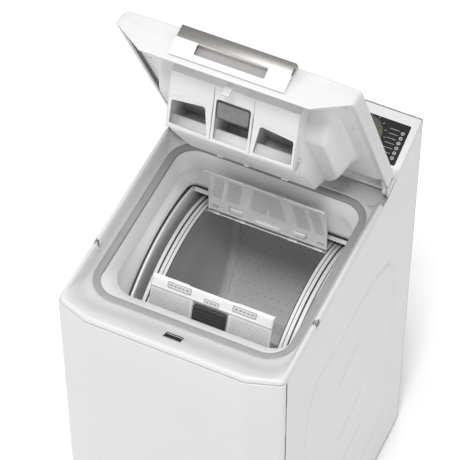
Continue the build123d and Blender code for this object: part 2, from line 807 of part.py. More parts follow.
def tub_lugs(side):
    lugs = []
    for dy in (-spring_dy, spring_dy):
        a, b = sorted((side * (tub_half + tub_wall - 2), side * (spring_x + 9)))
        lug = box(a, b, axis_y + dy - 8, axis_y + dy + 8, spring_low_z - 5, spring_low_z)
        brace = box(*sorted((side * (tub_half + tub_wall - 2), side * (tub_half + tub_wall + 3))),
                    axis_y + dy - 8, axis_y + dy + 8, spring_low_z - 40, spring_low_z)
        lugs.append(lug + brace)
    a, b = sorted((side * (damper_x - 8), side * (damper_x + 8)))
    top = axis_z - tub_radius
    pad = box(a, b, damper_y - 14, damper_y + 14, damper_rod_top, top + 6) - rod(tub_radius + 1,
            -300, 300, axis_y, axis_z)
    lugs.append(pad)
    return lugs


def tub_seal():
    g = tub_split_gap / 2
    ring = rod(tub_outer + 7, -g, g, axis_y, axis_z) - rod(tub_radius, -g - 1, g + 1, axis_y, axis_z)
    rear, front = tub_opening()
    return ring - shell_arc(tub_radius - 5, tub_outer + 20, rear - 1, front + 1, -5, 5)


def tub_screws():
    """Screws through the flanges of the two tub halves."""
    screws = []
    for k in range(9):
        angle = 160 + 30 * k
        y, z = polar(tub_outer + 4.5, angle)
        screws.append(rod(4, tub_split_gap / 2 + 5, tub_split_gap / 2 + 8, y, z).solid())
    return Compound(children=screws)


def drum_bearings():
    rings = []
    for s in (-1, 1):
        a, b = sorted((s * (tub_half + tub_wall), s * (tub_half + tub_wall + bearing_width)))
        ring = rod(bearing_radius, a, b, axis_y, axis_z)
        ring -= rod(shaft_radius + shaft_clearance, a - 1, b + 1, axis_y, axis_z)
        rings.append(ring.solid())
    return Compound(children=rings)


def shaft_seals():
    rings = []
    for s in (-1, 1):
        a, b = sorted((s * tub_half, s * (tub_half + tub_wall)))
        ring = rod(seal_ring_radius, a, b, axis_y, axis_z)
        ring -= rod(shaft_radius + shaft_clearance, a - 1, b + 1, axis_y, axis_z)
        rings.append(ring.solid())
    return rings


def heater():
    z = heater_z()
    x0, x1 = trough_x0 + 14, trough_x1 + 3
    body = None
    for dy in (-heater_spread, heater_spread):
        bar = rod(heater_radius, x0, x1, axis_y + dy, z)
        body = bar if body is None else body + bar
    cross = Pos(x0, axis_y, z) * Rot(90, 0, 0) * Cylinder(heater_radius, 2 * heater_spread)
    ends = [Pos(x0, axis_y + dy, z) * Sphere(heater_radius) for dy in (-heater_spread, heater_spread)]
    flange = box(trough_x1, trough_x1 + 4, axis_y - 26, axis_y + 26, z - 9, z + 9)
    tabs = box(trough_x1 + 4, trough_x1 + 16, axis_y - 20, axis_y - 12, z - 1, z + 1)
    tabs += box(trough_x1 + 4, trough_x1 + 16, axis_y + 12, axis_y + 20, z - 1, z + 1)
    return body + cross + ends + flange + tabs


def counterweight():
    return shell_arc(150, 232, 205, 335, -188, -(tub_half + tub_wall + 5))


def motor_housing():
    body = rod(motor_radius, -motor_half, motor_half, motor_y, motor_z)
    body -= rod(motor_radius - 5, -motor_half + 6, motor_half - 6, motor_y, motor_z)
    body -= rod(motor_shaft_radius + shaft_clearance, -motor_half - 1, motor_half + 1, motor_y, motor_z)
    for x in (-44, 36):
        arm = box(x, x + 8, motor_y - 34, motor_y + 22, motor_z + motor_radius - 26, motor_z + 125)
        arm -= rod(tub_outer, x - 1, x + 9, axis_y, axis_z)
        arm -= rod(motor_radius - 3, x - 1, x + 9, motor_y, motor_z)
        body += arm
    return body.solids().sort_by(lambda s: -s.volume)[0]


def motor_rotor():
    core = rod(motor_radius - 8, -motor_half + 10, motor_half - 10, motor_y, motor_z)
    shaft = rod(motor_shaft_radius, -motor_half + 1, pulley_x1() + 2, motor_y, motor_z)
    pulley = rod(motor_pulley_radius, pulley_x0(), pulley_x1(), motor_y, motor_z)
    for x in (pulley_x0() - 1.5, pulley_x1()):
        pulley += rod(motor_pulley_radius + 5, x, x + 1.5, motor_y, motor_z)
    return core + shaft + pulley


def pulley_x0():
    return tub_half + tub_wall + bearing_width + pulley_gap


def pulley_x1():
    return pulley_x0() + pulley_width


def belt_loop(grow, x0, x1):
    """Solid inside a belt that wraps both pulleys, both radii enlarged by grow."""
    dy, dz = motor_y - axis_y, motor_z - axis_z
    span = hypot(dy, dz)
    heading = degrees(atan2(dz, dy))
    swing = degrees(asin((drum_pulley_radius - motor_pulley_radius) / span))
    r1, r2 = drum_pulley_radius + grow, motor_pulley_radius + grow
    corners = []
    for r, cy, cz, order in ((r1, axis_y, axis_z, (1, -1)), (r2, motor_y, motor_z, (-1, 1))):
        for side in order:
            angle = radians(heading + side * (90 - swing))
            corners.append((cy + r * cos(angle), cz + r * sin(angle)))
    loop = across(corners, x0, x1)
    loop += rod(r1, x0, x1, axis_y, axis_z)
    return loop + rod(r2, x0, x1, motor_y, motor_z)


def drive_belt():
    x0, x1 = pulley_x0() + 2, pulley_x1() - 2
    return belt_loop(belt_gap + belt_thickness, x0, x1) - belt_loop(belt_gap, x0 - 1, x1 + 1)


# ---------- suspension ----------
def suspension_springs():
    coils = []
    for sx in (-1, 1):
        for dy in (-spring_dy, spring_dy):
            coil = upright(spring_radius, sx * spring_x, axis_y + dy, spring_low_z, spring_high_z)
            coil -= upright(spring_radius - 2.5, sx * spring_x, axis_y + dy, spring_low_z - 1,
                            spring_high_z + 1)
            coils.append(coil.solid())
    return Compound(children=coils)


def spring_shelf(side):
    shelves = []
    for dy in (-spring_dy, spring_dy):
        a, b = sorted((side * (spring_x - 10), side * (half_width - sheet)))
        shelf = box(a, b, axis_y + dy - 9, axis_y + dy + 9, spring_high_z, spring_high_z + 3)
        shelves.append(shelf)
    return shelves


def damper_cylinders():
    tubes = []
    for sx in (-1, 1):
        z0 = base_z + base_height
        tube = upright(damper_radius, sx * damper_x, damper_y, z0, z0 + damper_length)
        tube -= upright(damper_rod_radius + 0.05, sx * damper_x, damper_y, z0 + 6, z0 +
                        damper_length + 1)
        tubes.append(tube.solid())
    return Compound(children=tubes)


def damper_rods():
    rods = []
    z0 = base_z + base_height
    for sx in (-1, 1):
        bar = upright(damper_rod_radius, sx * damper_x, damper_y, z0 + 6 + tub_down + 4, damper_rod_top)
        rods.append(bar.solid())
    return Compound(children=rods)


# ---------- hoses held inside the cabinet ----------
def hose(points, radius, bore, bend):
    path = FilletPolyline(*points, radius=bend)
    start = Plane(origin=points[0], z_dir=path % 0)
    tube = sweep(start * Circle(radius), path=path)
    return tube - sweep(start * Circle(bore), path=path)


def sump_hose():
    top = axis_z - sqrt(tub_outer ** 2 - (spout_y - axis_y) ** 2) - 18
    pump_x = (door_x0 + door_x1) / 2
    low = pump_z - 8 + 40
    points = [(spout_x, spout_y, top), (spout_x, spout_y, (top + low) / 2),
              (pump_x, front_y + 75, (top + low) / 2 - 10), (pump_x, front_y + 75, low)]
    return hose(points, 15, 12, 22)


def tub_bellows():
    """Rubber ring between the tub collar and the throat edge."""
    rear, front = tub_opening()
    r0 = tub_outer + collar_height
    r1 = r0 + throat_floor_gap
    x_out = throat_low_half_x + throat_wall
    ring = shell_arc(r0, r1, rear - 1, front + 1, -x_out, x_out)
    ring -= shell_arc(r0 - 2, r1 + 2, rear + 0.6, front - 0.6, -x_out + throat_wall, x_out - throat_wall)
    return ring


def drain_hose():
    x = (door_x0 + door_x1) / 2 + 14
    y0 = pump_y + 18
    z0 = pump_z - 8 + 44
    points = [(x, y0, z0), (x, y0, z0 + 24), (hose_x, y0, z0 + 24), (hose_x, hose_y, z0 + 24),
              (hose_x, hose_y, spigot_z - 20)]
    return hose(points, 9, 7, 20)


def drain_spigot():
    body = Pos(hose_x, (hose_y - 12 + rear_y - 1) / 2, spigot_z) * Rot(90, 0, 0) \
        * Cylinder(spigot_radius, rear_y - 1 - hose_y + 12)
    stub = upright(9, hose_x, hose_y, spigot_z - 20, spigot_z)
    flange = box(hose_x - 14, hose_x + 14, rear_skin_y() - sheet - 2, rear_skin_y() - sheet,
                 spigot_z - 16, spigot_z + 16)
    bore = Pos(hose_x, (hose_y + rear_y) / 2, spigot_z) * Rot(90, 0, 0) * Cylinder(spigot_radius -
            3, rear_y - hose_y)
    bore += upright(6.5, hose_x, hose_y, spigot_z - 21, spigot_z)
    return body + stub + flange - bore


def inlet_valve():
    y1 = rear_y - 1
    body = Pos(valve_x, y1 - 20, valve_z) * Rot(90, 0, 0) * Cylinder(valve_radius, 40)
    body -= Pos(valve_x, y1 - 8, valve_z) * Rot(90, 0, 0) * Cylinder(valve_radius - 3, 18)
    flange = box(valve_x - 18, valve_x + 18, rear_skin_y() - sheet - 3, rear_skin_y() - sheet,
                 valve_z - 18,
                 valve_z + 18) - Pos(valve_x, y1, valve_z) * Rot(90, 0,
                         0) * Cylinder(valve_radius - 3, 20)
    coil = box(valve_x - 16, valve_x + 16, y1 - 56, y1 - 34, valve_z - 16, valve_z + 20)
    return body + flange + coil


def mains_inlet():
    y1 = rear_y - 1
    body = Pos(mains_x, y1 - 9, mains_z) * Rot(90, 0, 0) * Cylinder(mains_radius, 18)
    body -= Pos(mains_x, y1 - 5, mains_z) * Rot(90, 0, 0) * Cylinder(mains_radius - 3, 12)
    box_part = box(mains_x - 20, mains_x + 20, rear_skin_y() - sheet - 30, rear_skin_y() - sheet,
                   mains_z - 18, mains_z + 18)
    box_part -= Pos(mains_x, y1 - 9, mains_z) * Rot(90, 0, 0) * Cylinder(mains_radius - 0.5, 18)
    return body + box_part - Pos(mains_x, y1 - 5, mains_z) * Rot(90, 0,
            0) * Cylinder(mains_radius - 3, 12)


def pressure_switch():
    y1 = rear_skin_y() - sheet - seam - 3
    case = box(tube_x - 20, tube_x + 20, y1 - 26, y1, switch_z, switch_z + 20)
    return case + Pos(tube_x, y1 - 13, switch_z + 21) * Cylinder(10, 4)


def pressure_tube():
    outer = upright(3.5, tube_x, tube_y, tube_low_z, switch_z)
    return outer - upright(2, tube_x, tube_y, tube_low_z - 1, switch_z + 1)


# ---------- drum ----------
def drum_shell():
    a0, a1 = door_angle - door_half_angle, door_angle + door_half_angle
    shell = rod(drum_radius, -drum_half, drum_half, axis_y, axis_z)
    shell -= rod(drum_radius - drum_sheet, -drum_half - 1, drum_half + 1, axis_y, axis_z)
    shell -= shell_arc(drum_radius - 5, drum_radius + 5, a0, a1, -door_half_x, door_half_x)
    for angle in flap_hinges():
        y, z = polar(drum_radius - hinge_depth, angle)
        for s in (-1, 1):
            a, b = sorted((s * (door_half_x + 0.2), s * (door_half_x + 6)))
            shell += rod(hinge_depth + 0.2, a, b, y, z)
            shell -= rod(rod_radius, a - 1, b + 1, y, z)
    return shell


def flap_hinges():
    return (door_angle + door_half_angle - hinge_inset, door_angle - door_half_angle + hinge_inset)


def drum_end(side):
    a, b = sorted((side * drum_half, side * (drum_half + end_plate)))
    disc = rod(drum_radius, a, b, axis_y, axis_z)
    disc -= rod(shaft_radius, a - 1, b + 1, axis_y, axis_z)
    for k in range(6):
        y, z = polar(drum_radius * 0.62, 60 * k)
        disc -= rod(22, a - 1, b + 1, y, z)
    return disc


def drum_shaft(side):
    start = drum_half - 6
    end = pulley_x1() + 8 if side > 0 else tub_half + tub_wall + bearing_width + 3
    a, b = sorted((side * start, side * end))
    shaft = rod(shaft_radius, a, b, axis_y, axis_z)
    a, b = sorted((side * start, side * drum_half))
    return shaft + rod(3.2 * shaft_radius, a, b, axis_y, axis_z)


def drum_lifters():
    lifters = []
    for angle in lifter_angles:
        foot_r = drum_radius - drum_sheet - 0.2
        half = 6.5
        base_points = [polar(foot_r, angle - half), polar(foot_r - lifter_height, angle - 2.5),
                       polar(foot_r - lifter_height, angle + 2.5), polar(foot_r, angle + half)]
        body = across(base_points, -drum_half + 6, drum_half - 6)
        lifters.append(body.solid())
    return Compound(children=lifters)


def drum_pulley():
    x0, x1 = pulley_x0(), pulley_x1()
    rim = rod(drum_pulley_radius, x0, x1, axis_y, axis_z)
    rim -= rod(drum_pulley_radius - 6, x0 - 1, x1 + 1, axis_y, axis_z)
    web = rod(drum_pulley_radius - 5, x0 + 4, x0 + 8, axis_y, axis_z)
    for k in range(6):
        y, z = polar(drum_pulley_radius * 0.58, 60 * k + 30)
        web -= rod(30, x0 - 1, x1 + 1, y, z)
    hub = rod(26, x0, x1 + 2, axis_y, axis_z)
    return rim + web + hub - rod(shaft_radius, x0 - 5, x1 + 9, axis_y, axis_z)


def pulley_nut():
    nut_x = pulley_x1() + 2
    nut = Pos(nut_x + 3, axis_y, axis_z) * Rot(0, 90, 0) * extrude(RegularPolygon(20, 6), 3, both=True)
    return nut - rod(shaft_radius, nut_x - 1, nut_x + 7, axis_y, axis_z)


# ---------- drum flaps (closed place) ----------
def arc_at(r0, r1, a0, a1, x0, x1):
    return shell_arc(r0, r1, min(a0, a1), max(a0, a1), x0, x1)


def along(hinge, step, mm):
    """Angle at a distance in mm back from the free edge of a flap."""
    return hinge + step * (flap_angle - degrees(mm / drum_radius))


def flap_body(hinge, step):
    r = drum_radius
    start = hinge + step * 0.9
    free = hinge + step * flap_angle
    x = flap_half_x
    plate = arc_at(r - flap_thickness, r, start, free, -x, x)
    plate += arc_at(r - flap_lip, r - 0.5, along(hinge, step, 2), free, -x, x)
    for s in (-1, 1):
        a, b = sorted((s * (x - 2), s * x))
        plate += arc_at(r - flap_lip + 1, r - 0.5, start, free, a, b)
    y, z = polar(r - hinge_depth, hinge)
    for s in (-1, 1):
        for x0, x1 in knuckle_spans:
            a, b = sorted((s * x0, s * x1))
            plate += rod(knuckle_radius, a, b, y, z)
            plate += arc_at(r - 6, r - 1, hinge + step * 0.3, hinge + step * 2.2, a, b)
    plate -= rod(rod_radius + rod_clearance, -x - 1, x + 1, y, z)
    for s in (-1, 1):
        a, b = sorted((s * slot_x0, s * slot_x1))
        plate -= arc_at(r - flap_thickness - 1, r + 1, along(hinge, step, slot_start),
                        along(hinge, step, slot_start + slot_width), a, b)
    return plate


def on_drum(angle):
    """Frame with Z pointing out of the drum at an angle, standing on the drum surface."""
    y, z = polar(drum_radius, angle)
    return Pos(0, y, z) * Rot(angle - 90, 0, 0)


def button_angle():
    hinge = flap_hinges()[0]
    return along(hinge, -1, button_start + button_length / 2)


def front_flap_closed():
    hinge = flap_hinges()[0]
    body = flap_body(hinge, -1)
    place = on_drum(button_angle())
    tray = place * Pos(0, 0, -6.5) * Box(2 * button_half_x + 5, button_length + 5, 11)
    tray &= rod(drum_radius - 0.5, -200, 200, axis_y, axis_z)
    window = place * Pos(0, 0, 2) * Box(2 * (button_half_x + button_gap), button_length + 2 *
                                        button_gap, 24)
    body = body + tray - window
    r = drum_radius
    free = hinge - flap_angle
    return body - arc_at(r - flap_lip - 1, r - flap_thickness, free + 1.2, free - 1,
                         -tongue_half_x - 2, tongue_half_x + 2)


def flap_button_closed():
    place = on_drum(button_angle())
    return place * Pos(0, 0, -1) * Box(2 * button_half_x, button_length, 9)


def rear_flap_closed():
    hinge = flap_hinges()[1]
    body = flap_body(hinge, 1)
    r = drum_radius
    free = hinge + flap_angle
    x = tongue_half_x
    tongue = arc_at(r - flap_lip, r - flap_lip + 2, free - 0.4, free + degrees(tongue_length / r), -x, x)
    return body + tongue


def front_open_angle():
    hinge = flap_hinges()[0]
    return front_flap_lean - (hinge - flap_angle / 2 - 90)


def rear_open_angle():
    hinge = flap_hinges()[1]
    return rear_flap_lean - (hinge + flap_angle / 2 + 90)


def front_open(shape):
    y, z = polar(drum_radius - hinge_depth, flap_hinges()[0])
    return turned(shape, y, z, front_open_angle())


def rear_open(shape):
    y, z = polar(drum_radius - hinge_depth, flap_hinges()[1])
    return turned(shape, y, z, rear_open_angle())


def flap_hinge_rods():
    rods = []
    for angle in flap_hinges():
        y, z = polar(drum_radius - hinge_depth, angle)
        rods.append(rod(rod_radius, -door_half_x - 6, door_half_x + 6, y, z).solid())
    return Compound(children=rods)


# ---------- fasteners ----------
def cabinet_screws():
    screws = []
    y0 = rear_skin_y()
    for s in (-1, 1):
        for z in (60, 260, 460, 660, 840):
            screws.append((Pos(s * (half_width - 8), y0 + screw_head / 2, z) * Rot(90, 0, 0)
                           * Cylinder(4, screw_head)).solid())
    for x in (-80, 80):
        for z in (290, 430, 570):
            screws.append((Pos(x, y0 + screw_head / 2, z) * Rot(90, 0, 0) * Cylinder(4,
                    screw_head)).solid())
    return Compound(children=screws)


def main():
    os.makedirs("parts", exist_ok=True)
    for side, name in ((-1, "left"), (1, "right")):
        write(side_panel(side) + spring_shelf(side), name + "_side_panel")
    write(front_panel(), "front_panel")
    write(rear_panel(), "rear_panel")
    write(base_frame(), "base_frame")
    write(kick_plate(), "kick_plate")
    write(filter_door(), "filter_door")
    write(pump_filter_cap(), "pump_filter_cap")
    write(drain_pump(), "drain_pump")
    write(pump_impeller(), "pump_impeller")
    front_foot_y, rear_foot_y = foot_ys()
    foot_x = half_width - foot_inset_x
    write(foot(-foot_x, front_foot_y), "front_left_foot")
    write(foot(foot_x, front_foot_y), "front_right_foot")
    write(Compound(children=[foot(-foot_x, rear_foot_y).solid(), foot(foot_x,
            rear_foot_y).solid()]), "rear_feet")
    write(top_frame(), "top_frame")
    write(throat_bowl(), "throat_bowl")
    write(opening_seal(), "opening_seal")
    write(lid_lock(), "lid_lock")
    write(console_housing(), "console_housing")
    write(display_panel(), "display_panel")
    write(programme_knob(), "programme_knob")
    write(control_board(), "control_board")
    write(lid_open(lid_shell()), "lid_shell")
    write(lid_open(lid_liner()), "lid_liner")
    write(lid_open(lid_hinge_pins()), "lid_hinge_pins")
    write(lid_open(handle_bracket()), "handle_bracket")
    write(lid_open(handle_trim()), "handle_trim")
    write(lid_open(latch_hook()), "latch_hook")
    write(lid_open(dispenser_housing()), "dispenser_housing")
    write(lid_open(dispenser_flap()), "dispenser_flap")
    write(tub_left(), "tub_left")
    write(tub_right(), "tub_right")
    write(Compound(children=[tub_seal().solid()] + shaft_seals()), "tub_seals")
    write(tub_screws(), "tub_screws")
    write(tub_bellows(), "tub_bellows")
    write(drum_bearings(), "drum_bearings")
    write(heater(), "heater")
    write(counterweight(), "counterweight")
    write(motor_housing(), "motor_housing")
    write(motor_rotor(), "motor_rotor")
    write(drive_belt(), "drive_belt")
    write(suspension_springs(), "suspension_springs")
    write(damper_cylinders(), "damper_cylinders")
    write(damper_rods(), "damper_rods")
    write(sump_hose(), "sump_hose")
    write(drain_hose(), "drain_hose")
    write(drain_spigot(), "drain_spigot")
    write(inlet_valve(), "inlet_valve")
    write(mains_inlet(), "mains_inlet")
    write(pressure_switch(), "pressure_switch")
    write(pressure_tube(), "pressure_tube")
    write(drum_shell(), "drum_shell")
    write(Compound(children=[drum_end(-1).solid(), drum_end(1).solid()]), "drum_ends")
    write(Compound(children=[drum_shaft(-1).solid(), drum_shaft(1).solid()]), "drum_shafts")
    write(drum_lifters(), "drum_lifters")
    write(drum_pulley() + pulley_nut(), "drum_pulley")
    write(flap_hinge_rods(), "flap_hinge_rods")
    write(front_open(front_flap_closed()), "front_flap")
    write(front_open(flap_button_closed()), "flap_button")
    write(rear_open(rear_flap_closed()), "rear_flap")
    write(cabinet_screws(), "cabinet_screws")


main()
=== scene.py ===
"""Top load washing machine, standing open: lid up, both drum flaps up. Metres, origin on the floor."""
import json
import math

import bmesh
import bpy
from mathutils import Matrix, Vector


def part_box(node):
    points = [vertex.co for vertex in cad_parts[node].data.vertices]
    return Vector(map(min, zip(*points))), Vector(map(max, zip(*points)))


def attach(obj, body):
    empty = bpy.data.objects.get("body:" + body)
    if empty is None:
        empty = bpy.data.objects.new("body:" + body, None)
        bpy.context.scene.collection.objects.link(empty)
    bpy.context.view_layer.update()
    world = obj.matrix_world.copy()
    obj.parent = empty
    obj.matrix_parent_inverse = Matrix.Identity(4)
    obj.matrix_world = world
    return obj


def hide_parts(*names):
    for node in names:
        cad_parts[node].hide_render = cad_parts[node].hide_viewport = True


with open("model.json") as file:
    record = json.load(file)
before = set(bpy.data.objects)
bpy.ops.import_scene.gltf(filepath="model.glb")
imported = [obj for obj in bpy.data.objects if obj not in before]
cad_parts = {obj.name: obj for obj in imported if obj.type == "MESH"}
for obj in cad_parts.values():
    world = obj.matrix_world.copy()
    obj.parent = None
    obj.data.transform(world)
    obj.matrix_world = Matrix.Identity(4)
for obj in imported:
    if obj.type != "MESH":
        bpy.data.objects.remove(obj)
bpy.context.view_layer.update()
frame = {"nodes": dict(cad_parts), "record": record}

MM = 0.001
NODES = frame["nodes"]
JOINTS = {joint["name"]: joint for joint in frame["record"]["behaviour"]["joints"]}


# ---------------------------------------------------------------- sizes from the frame
def low(node):
    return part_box(node)[0]


def high(node):
    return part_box(node)[1]


HALF_W = high("rear_panel")[0]
FRONT_Y = low("front_panel")[1]
REAR_Y = high("rear_panel")[1]
CORNER_Y = FRONT_Y + 20 * MM            # the front bows out from its corners by this
BOW_HALF = 140 * MM
KICK_TOP = high("kick_plate")[2]
PANEL_TOP = high("front_panel")[2]
BODY_TOP = high("top_frame")[2]
CONSOLE_TOP = 890 * MM
CONSOLE_SLOPE_Y = 146 * MM
SEAL_X = high("opening_seal")[0]
SEAL_FRONT = low("opening_seal")[1]
SEAL_REAR = high("opening_seal")[1]
SEAL_TOP = high("opening_seal")[2]
SEAL_LOW = low("opening_seal")[2]
SEAL_R = 50 * MM
SEAL_WIDTH = 13 * MM
LIP_Y, LIP_Z = -171 * MM, 771 * MM
AXIS_Y, AXIS_Z = JOINTS["drum_spin"]["pos_m"][1:]
DRUM_R = 235 * MM
THROAT_LOW_R = 262 * MM                 # the throat ends on a cylinder round the tub
HINGE_Y, HINGE_Z = JOINTS["lid_hinge"]["pos_m"][1:]
LID_ANGLE = math.radians(JOINTS["lid_hinge"]["range_deg"][1])
LID_TOP = BODY_TOP + 29.5 * MM
SKIRT_Z = BODY_TOP + 1 * MM
LID_FRONT, LID_CORNER = -281 * MM, -273 * MM
LID_WALL = 2.4 * MM
RIM_Z, RIM_Y, RIM_HALF = 812 * MM, -304 * MM, 142 * MM
LINER_Z = 849 * MM


# ---------------------------------------------------------------- outlines
def fillet(points, radii, steps=6, closed=True):
    """Polyline whose corners are replaced by arcs of the given radii."""
    out = []
    n = len(points)
    for i, p in enumerate(points):
        r = radii[i]
        if r <= 0 or (not closed and i in (0, n - 1)):
            out.append(Vector(p))
            continue
        p = Vector(p)
        a = (Vector(points[i - 1]) - p).normalized()
        b = (Vector(points[(i + 1) % n]) - p).normalized()
        half = a.angle(b) / 2
        reach = r / math.tan(half)
        centre = p + (a + b).normalized() * (r / math.sin(half))
        start = p + a * reach - centre
        turn = math.pi - 2 * half
        sign = 1 if a.cross(b) < 0 else -1
        for k in range(steps + 1):
            out.append(centre + Matrix.Rotation(sign * turn * k / steps, 2) @ start)
    return out


def mm(*points):
    """Outline given in millimetres."""
    return [(a * MM, b * MM) for a, b in points]


def rect(half_x, half_y, radius, cx=0.0, cy=0.0, steps=6):
    """Rounded rectangle about a centre."""
    corners = [(-half_x, -half_y), (half_x, -half_y), (half_x, half_y), (-half_x, half_y)]
    return fillet([(cx + x, cy + y) for x, y in corners], [radius] * 4, steps)


def circle(cx, cy, r, steps=24):
    return [Vector((cx + r * math.cos(2 * math.pi * k / steps), cy + r * math.sin(2 * math.pi * k / steps)))
            for k in range(steps)]


def subdivide(points, longest):
    """Open polyline with points added so that no step is longer than the given one."""
    out = []
    for a, b in zip(points, points[1:]):
        parts = max(1, math.ceil((b - a).length / longest - 1e-6))
        out += [a.lerp(b, k / parts) for k in range(parts)]
    return out + [points[-1]]


def opening_loop(half_x, front, rear, radius, steps=8, side=14):
    """Rounded rectangle with the same number of points whatever its size."""
    corners = [(half_x, front), (half_x, rear), (-half_x, rear), (-half_x, front)]
    starts = (-90, 0, 90, 180)
    loop = []
    for (cx, cy), start in zip(corners, starts):
        ox = cx - math.copysign(radius, cx)
        oy = cy + (radius if cy == front else -radius)
        for k in range(steps + 1):
            angle = math.radians(start + 90 * k / steps)
            loop.append(Vector((ox + radius * math.cos(angle), oy + radius * math.sin(angle))))
    full = []
    for i, p in enumerate(loop):
        full.append(p)
        if i % (steps + 1) == steps:
            q = loop[(i + 1) % len(loop)]
            full += [p.lerp(q, k / side) for k in range(1, side)]
    return full


def offset(points, distance):
    """Open outline moved to its left by a distance."""
    out = []
    for i, p in enumerate(points):
        a = points[max(i - 1, 0)]
        b = points[min(i + 1, len(points) - 1)]
        t = (b - a).normalized()
        out.append(p + Vector((-t.y, t.x)) * distance)
    return out


def smooth(x):
    x = min(max(x, 0.0), 1.0)
    return x * x * (3 - 2 * x)


def bow(x):
    """How far the front surface falls back from its flat middle."""
    t = (abs(x) - BOW_HALF) / (HALF_W - BOW_HALF)
    return 20 * MM * max(t, 0.0)


def segment_distance(p, a, b):
    ab = (b[0] - a[0], b[1] - a[1])
    t = ((p[0] - a[0]) * ab[0] + (p[1] - a[1]) * ab[1]) / (ab[0] ** 2 + ab[1] ** 2)
    t = min(max(t, 0.0), 1.0)
    return math.hypot(p[0] - a[0] - ab[0] * t, p[1] - a[1] - ab[1] * t)


def path_distance(p, path):
    return min(segment_distance(p, path[i], path[i + 1]) for i in range(len(path) - 1))


# ---------------------------------------------------------------- mesh makers
def shade_smooth(obj):
    obj.data.polygons.foreach_set("use_smooth", [True] * len(obj.data.polygons))
    return obj


def mesh_object(name, verts, faces):
    mesh = bpy.data.meshes.new(name)
    mesh.from_pydata([tuple(v) for v in verts], [], faces)
    mesh.validate()
    mesh.update()
    obj = bpy.data.objects.new(name, mesh)
    bpy.context.scene.collection.objects.link(obj)
    return shade_smooth(obj)


def fix_normals(obj):
    bm = bmesh.new()
    bm.from_mesh(obj.data)
    bmesh.ops.remove_doubles(bm, verts=bm.verts, dist=1e-6)
    bmesh.ops.recalc_face_normals(bm, faces=bm.faces)
    bm.to_mesh(obj.data)
    bm.free()
    return obj


def strips(across, rows):
    """Faces of an open sheet of vertices stored row by row."""
    return [(j * across + i, j * across + i + 1, (j + 1) * across + i + 1, (j + 1) * across + i)
            for j in range(rows - 1) for i in range(across - 1)]


def grid(name, us, vs, place):
    """Sheet over the values us and vs; place(u, v) gives each point."""
    verts = [place(u, v) for v in vs for u in us]
    return mesh_object(name, verts, strips(len(us), len(vs)))


def rings(name, loops, closed=True, capped=False):
    """Skin over a row of loops of 3-D points, all with the same count."""
    n = len(loops[0])
    verts = [p for loop in loops for p in loop]
    faces = []
    for j in range(len(loops) - 1):
        for i in range(n if closed else n - 1):
            k = (i + 1) % n
            faces.append((j * n + i, j * n + k, (j + 1) * n + k, (j + 1) * n + i))
    if capped:
        faces.append(tuple(reversed(range(n))))
        faces.append(tuple(range((len(loops) - 1) * n, len(loops) * n)))
    return fix_normals(mesh_object(name, verts, faces))


def along_x(name, outline, x0, x1, edge=0.0):
    """Bar of a (y, z) outline from x0 to x1, its edges rounded by edge."""
    a = [Vector((x0, y, z)) for y, z in outline]
    b = [Vector((x1, y, z)) for y, z in outline]
    obj = rings(name, [a, b], capped=True)
    return rounded(obj, edge) if edge else obj


def rounded(obj, width, segments=3, angle=35):
    mod = obj.modifiers.new("edge", "BEVEL")
    mod.width = width
    mod.segments = segments
    mod.limit_method = "ANGLE"
    mod.angle_limit = math.radians(angle)
    return obj


def thicken(obj, thickness, side=-1.0):
    mod = obj.modifiers.new("thickness", "SOLIDIFY")
    mod.thickness = thickness
    mod.offset = side
    mod.use_even_offset = True
    return obj


def plate(name, outline, holes, thickness, edge=0.0):
    """Flat plate in XY with rounded holes, made from a filled curve; its top is at z = 0."""
    curve = bpy.data.curves.new(name, "CURVE")
    curve.dimensions = "2D"
    curve.fill_mode = "BOTH"
    curve.extrude = thickness / 2 - edge
    curve.bevel_depth = edge
    curve.bevel_resolution = 2 if edge else 0
    curve.offset = -edge
    for points in [outline] + list(holes):
        spline = curve.splines.new("POLY")
        spline.points.add(len(points) - 1)
        for target, p in zip(spline.points, points):
            target.co = (p[0], p[1], 0, 1)
        spline.use_cyclic_u = True
    carrier = bpy.data.objects.new(name + "_curve", curve)
    bpy.context.scene.collection.objects.link(carrier)
    bpy.context.view_layer.update()
    mesh = bpy.data.meshes.new_from_object(carrier.evaluated_get(bpy.context.evaluated_depsgraph_get()))
    bpy.data.objects.remove(carrier)
    mesh.name = name
    mesh.transform(Matrix.Translation((0, 0, -thickness / 2)))
    obj = bpy.data.objects.new(name, mesh)
    bpy.context.scene.collection.objects.link(obj)
    return obj


def join(name, objects):
    """One mesh from several, with their modifiers applied."""
    bm = bmesh.new()
    deps = bpy.context.evaluated_depsgraph_get()
    for obj in objects:
        bpy.context.view_layer.update()
        mesh = bpy.data.meshes.new_from_object(obj.evaluated_get(deps))
        mesh.transform(obj.matrix_world)
        bm.from_mesh(mesh)
        bpy.data.meshes.remove(mesh)
    mesh = bpy.data.meshes.new(name)
    bm.to_mesh(mesh)
    bm.free()
    for obj in objects:
        bpy.data.objects.remove(obj)
    out = bpy.data.objects.new(name, mesh)
    bpy.context.scene.collection.objects.link(out)
    return out


def span(side, a, b):
    """Two distances from the middle as x values on one side, lower first."""
    return sorted((side * a, side * b))


def turn_x(angle, y, z):
    pivot = Matrix.Translation((0, y, z))
    return pivot @ Matrix.Rotation(angle, 4, "X") @ pivot.inverted()


LID_OPEN = turn_x(-LID_ANGLE, HINGE_Y, HINGE_Z)
UPRIGHT = Matrix.Rotation(math.radians(90), 4, "X")      # stands a flat plate up, facing front


def piece(obj, body, slot, replaces=(), moved=None, look=None):
    """Places a finished piece, gives it its material and hangs it on its body."""
    if moved is not None:
        obj.data.transform(moved)
    obj.data.materials.clear()
    obj.data.materials.append(LOOKS[look or slot])
    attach(obj, body)
    if replaces:
        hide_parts(*replaces)
    return obj


# ---------------------------------------------------------------- materials
def socket(node, name, value):
    node.inputs[name].default_value = value


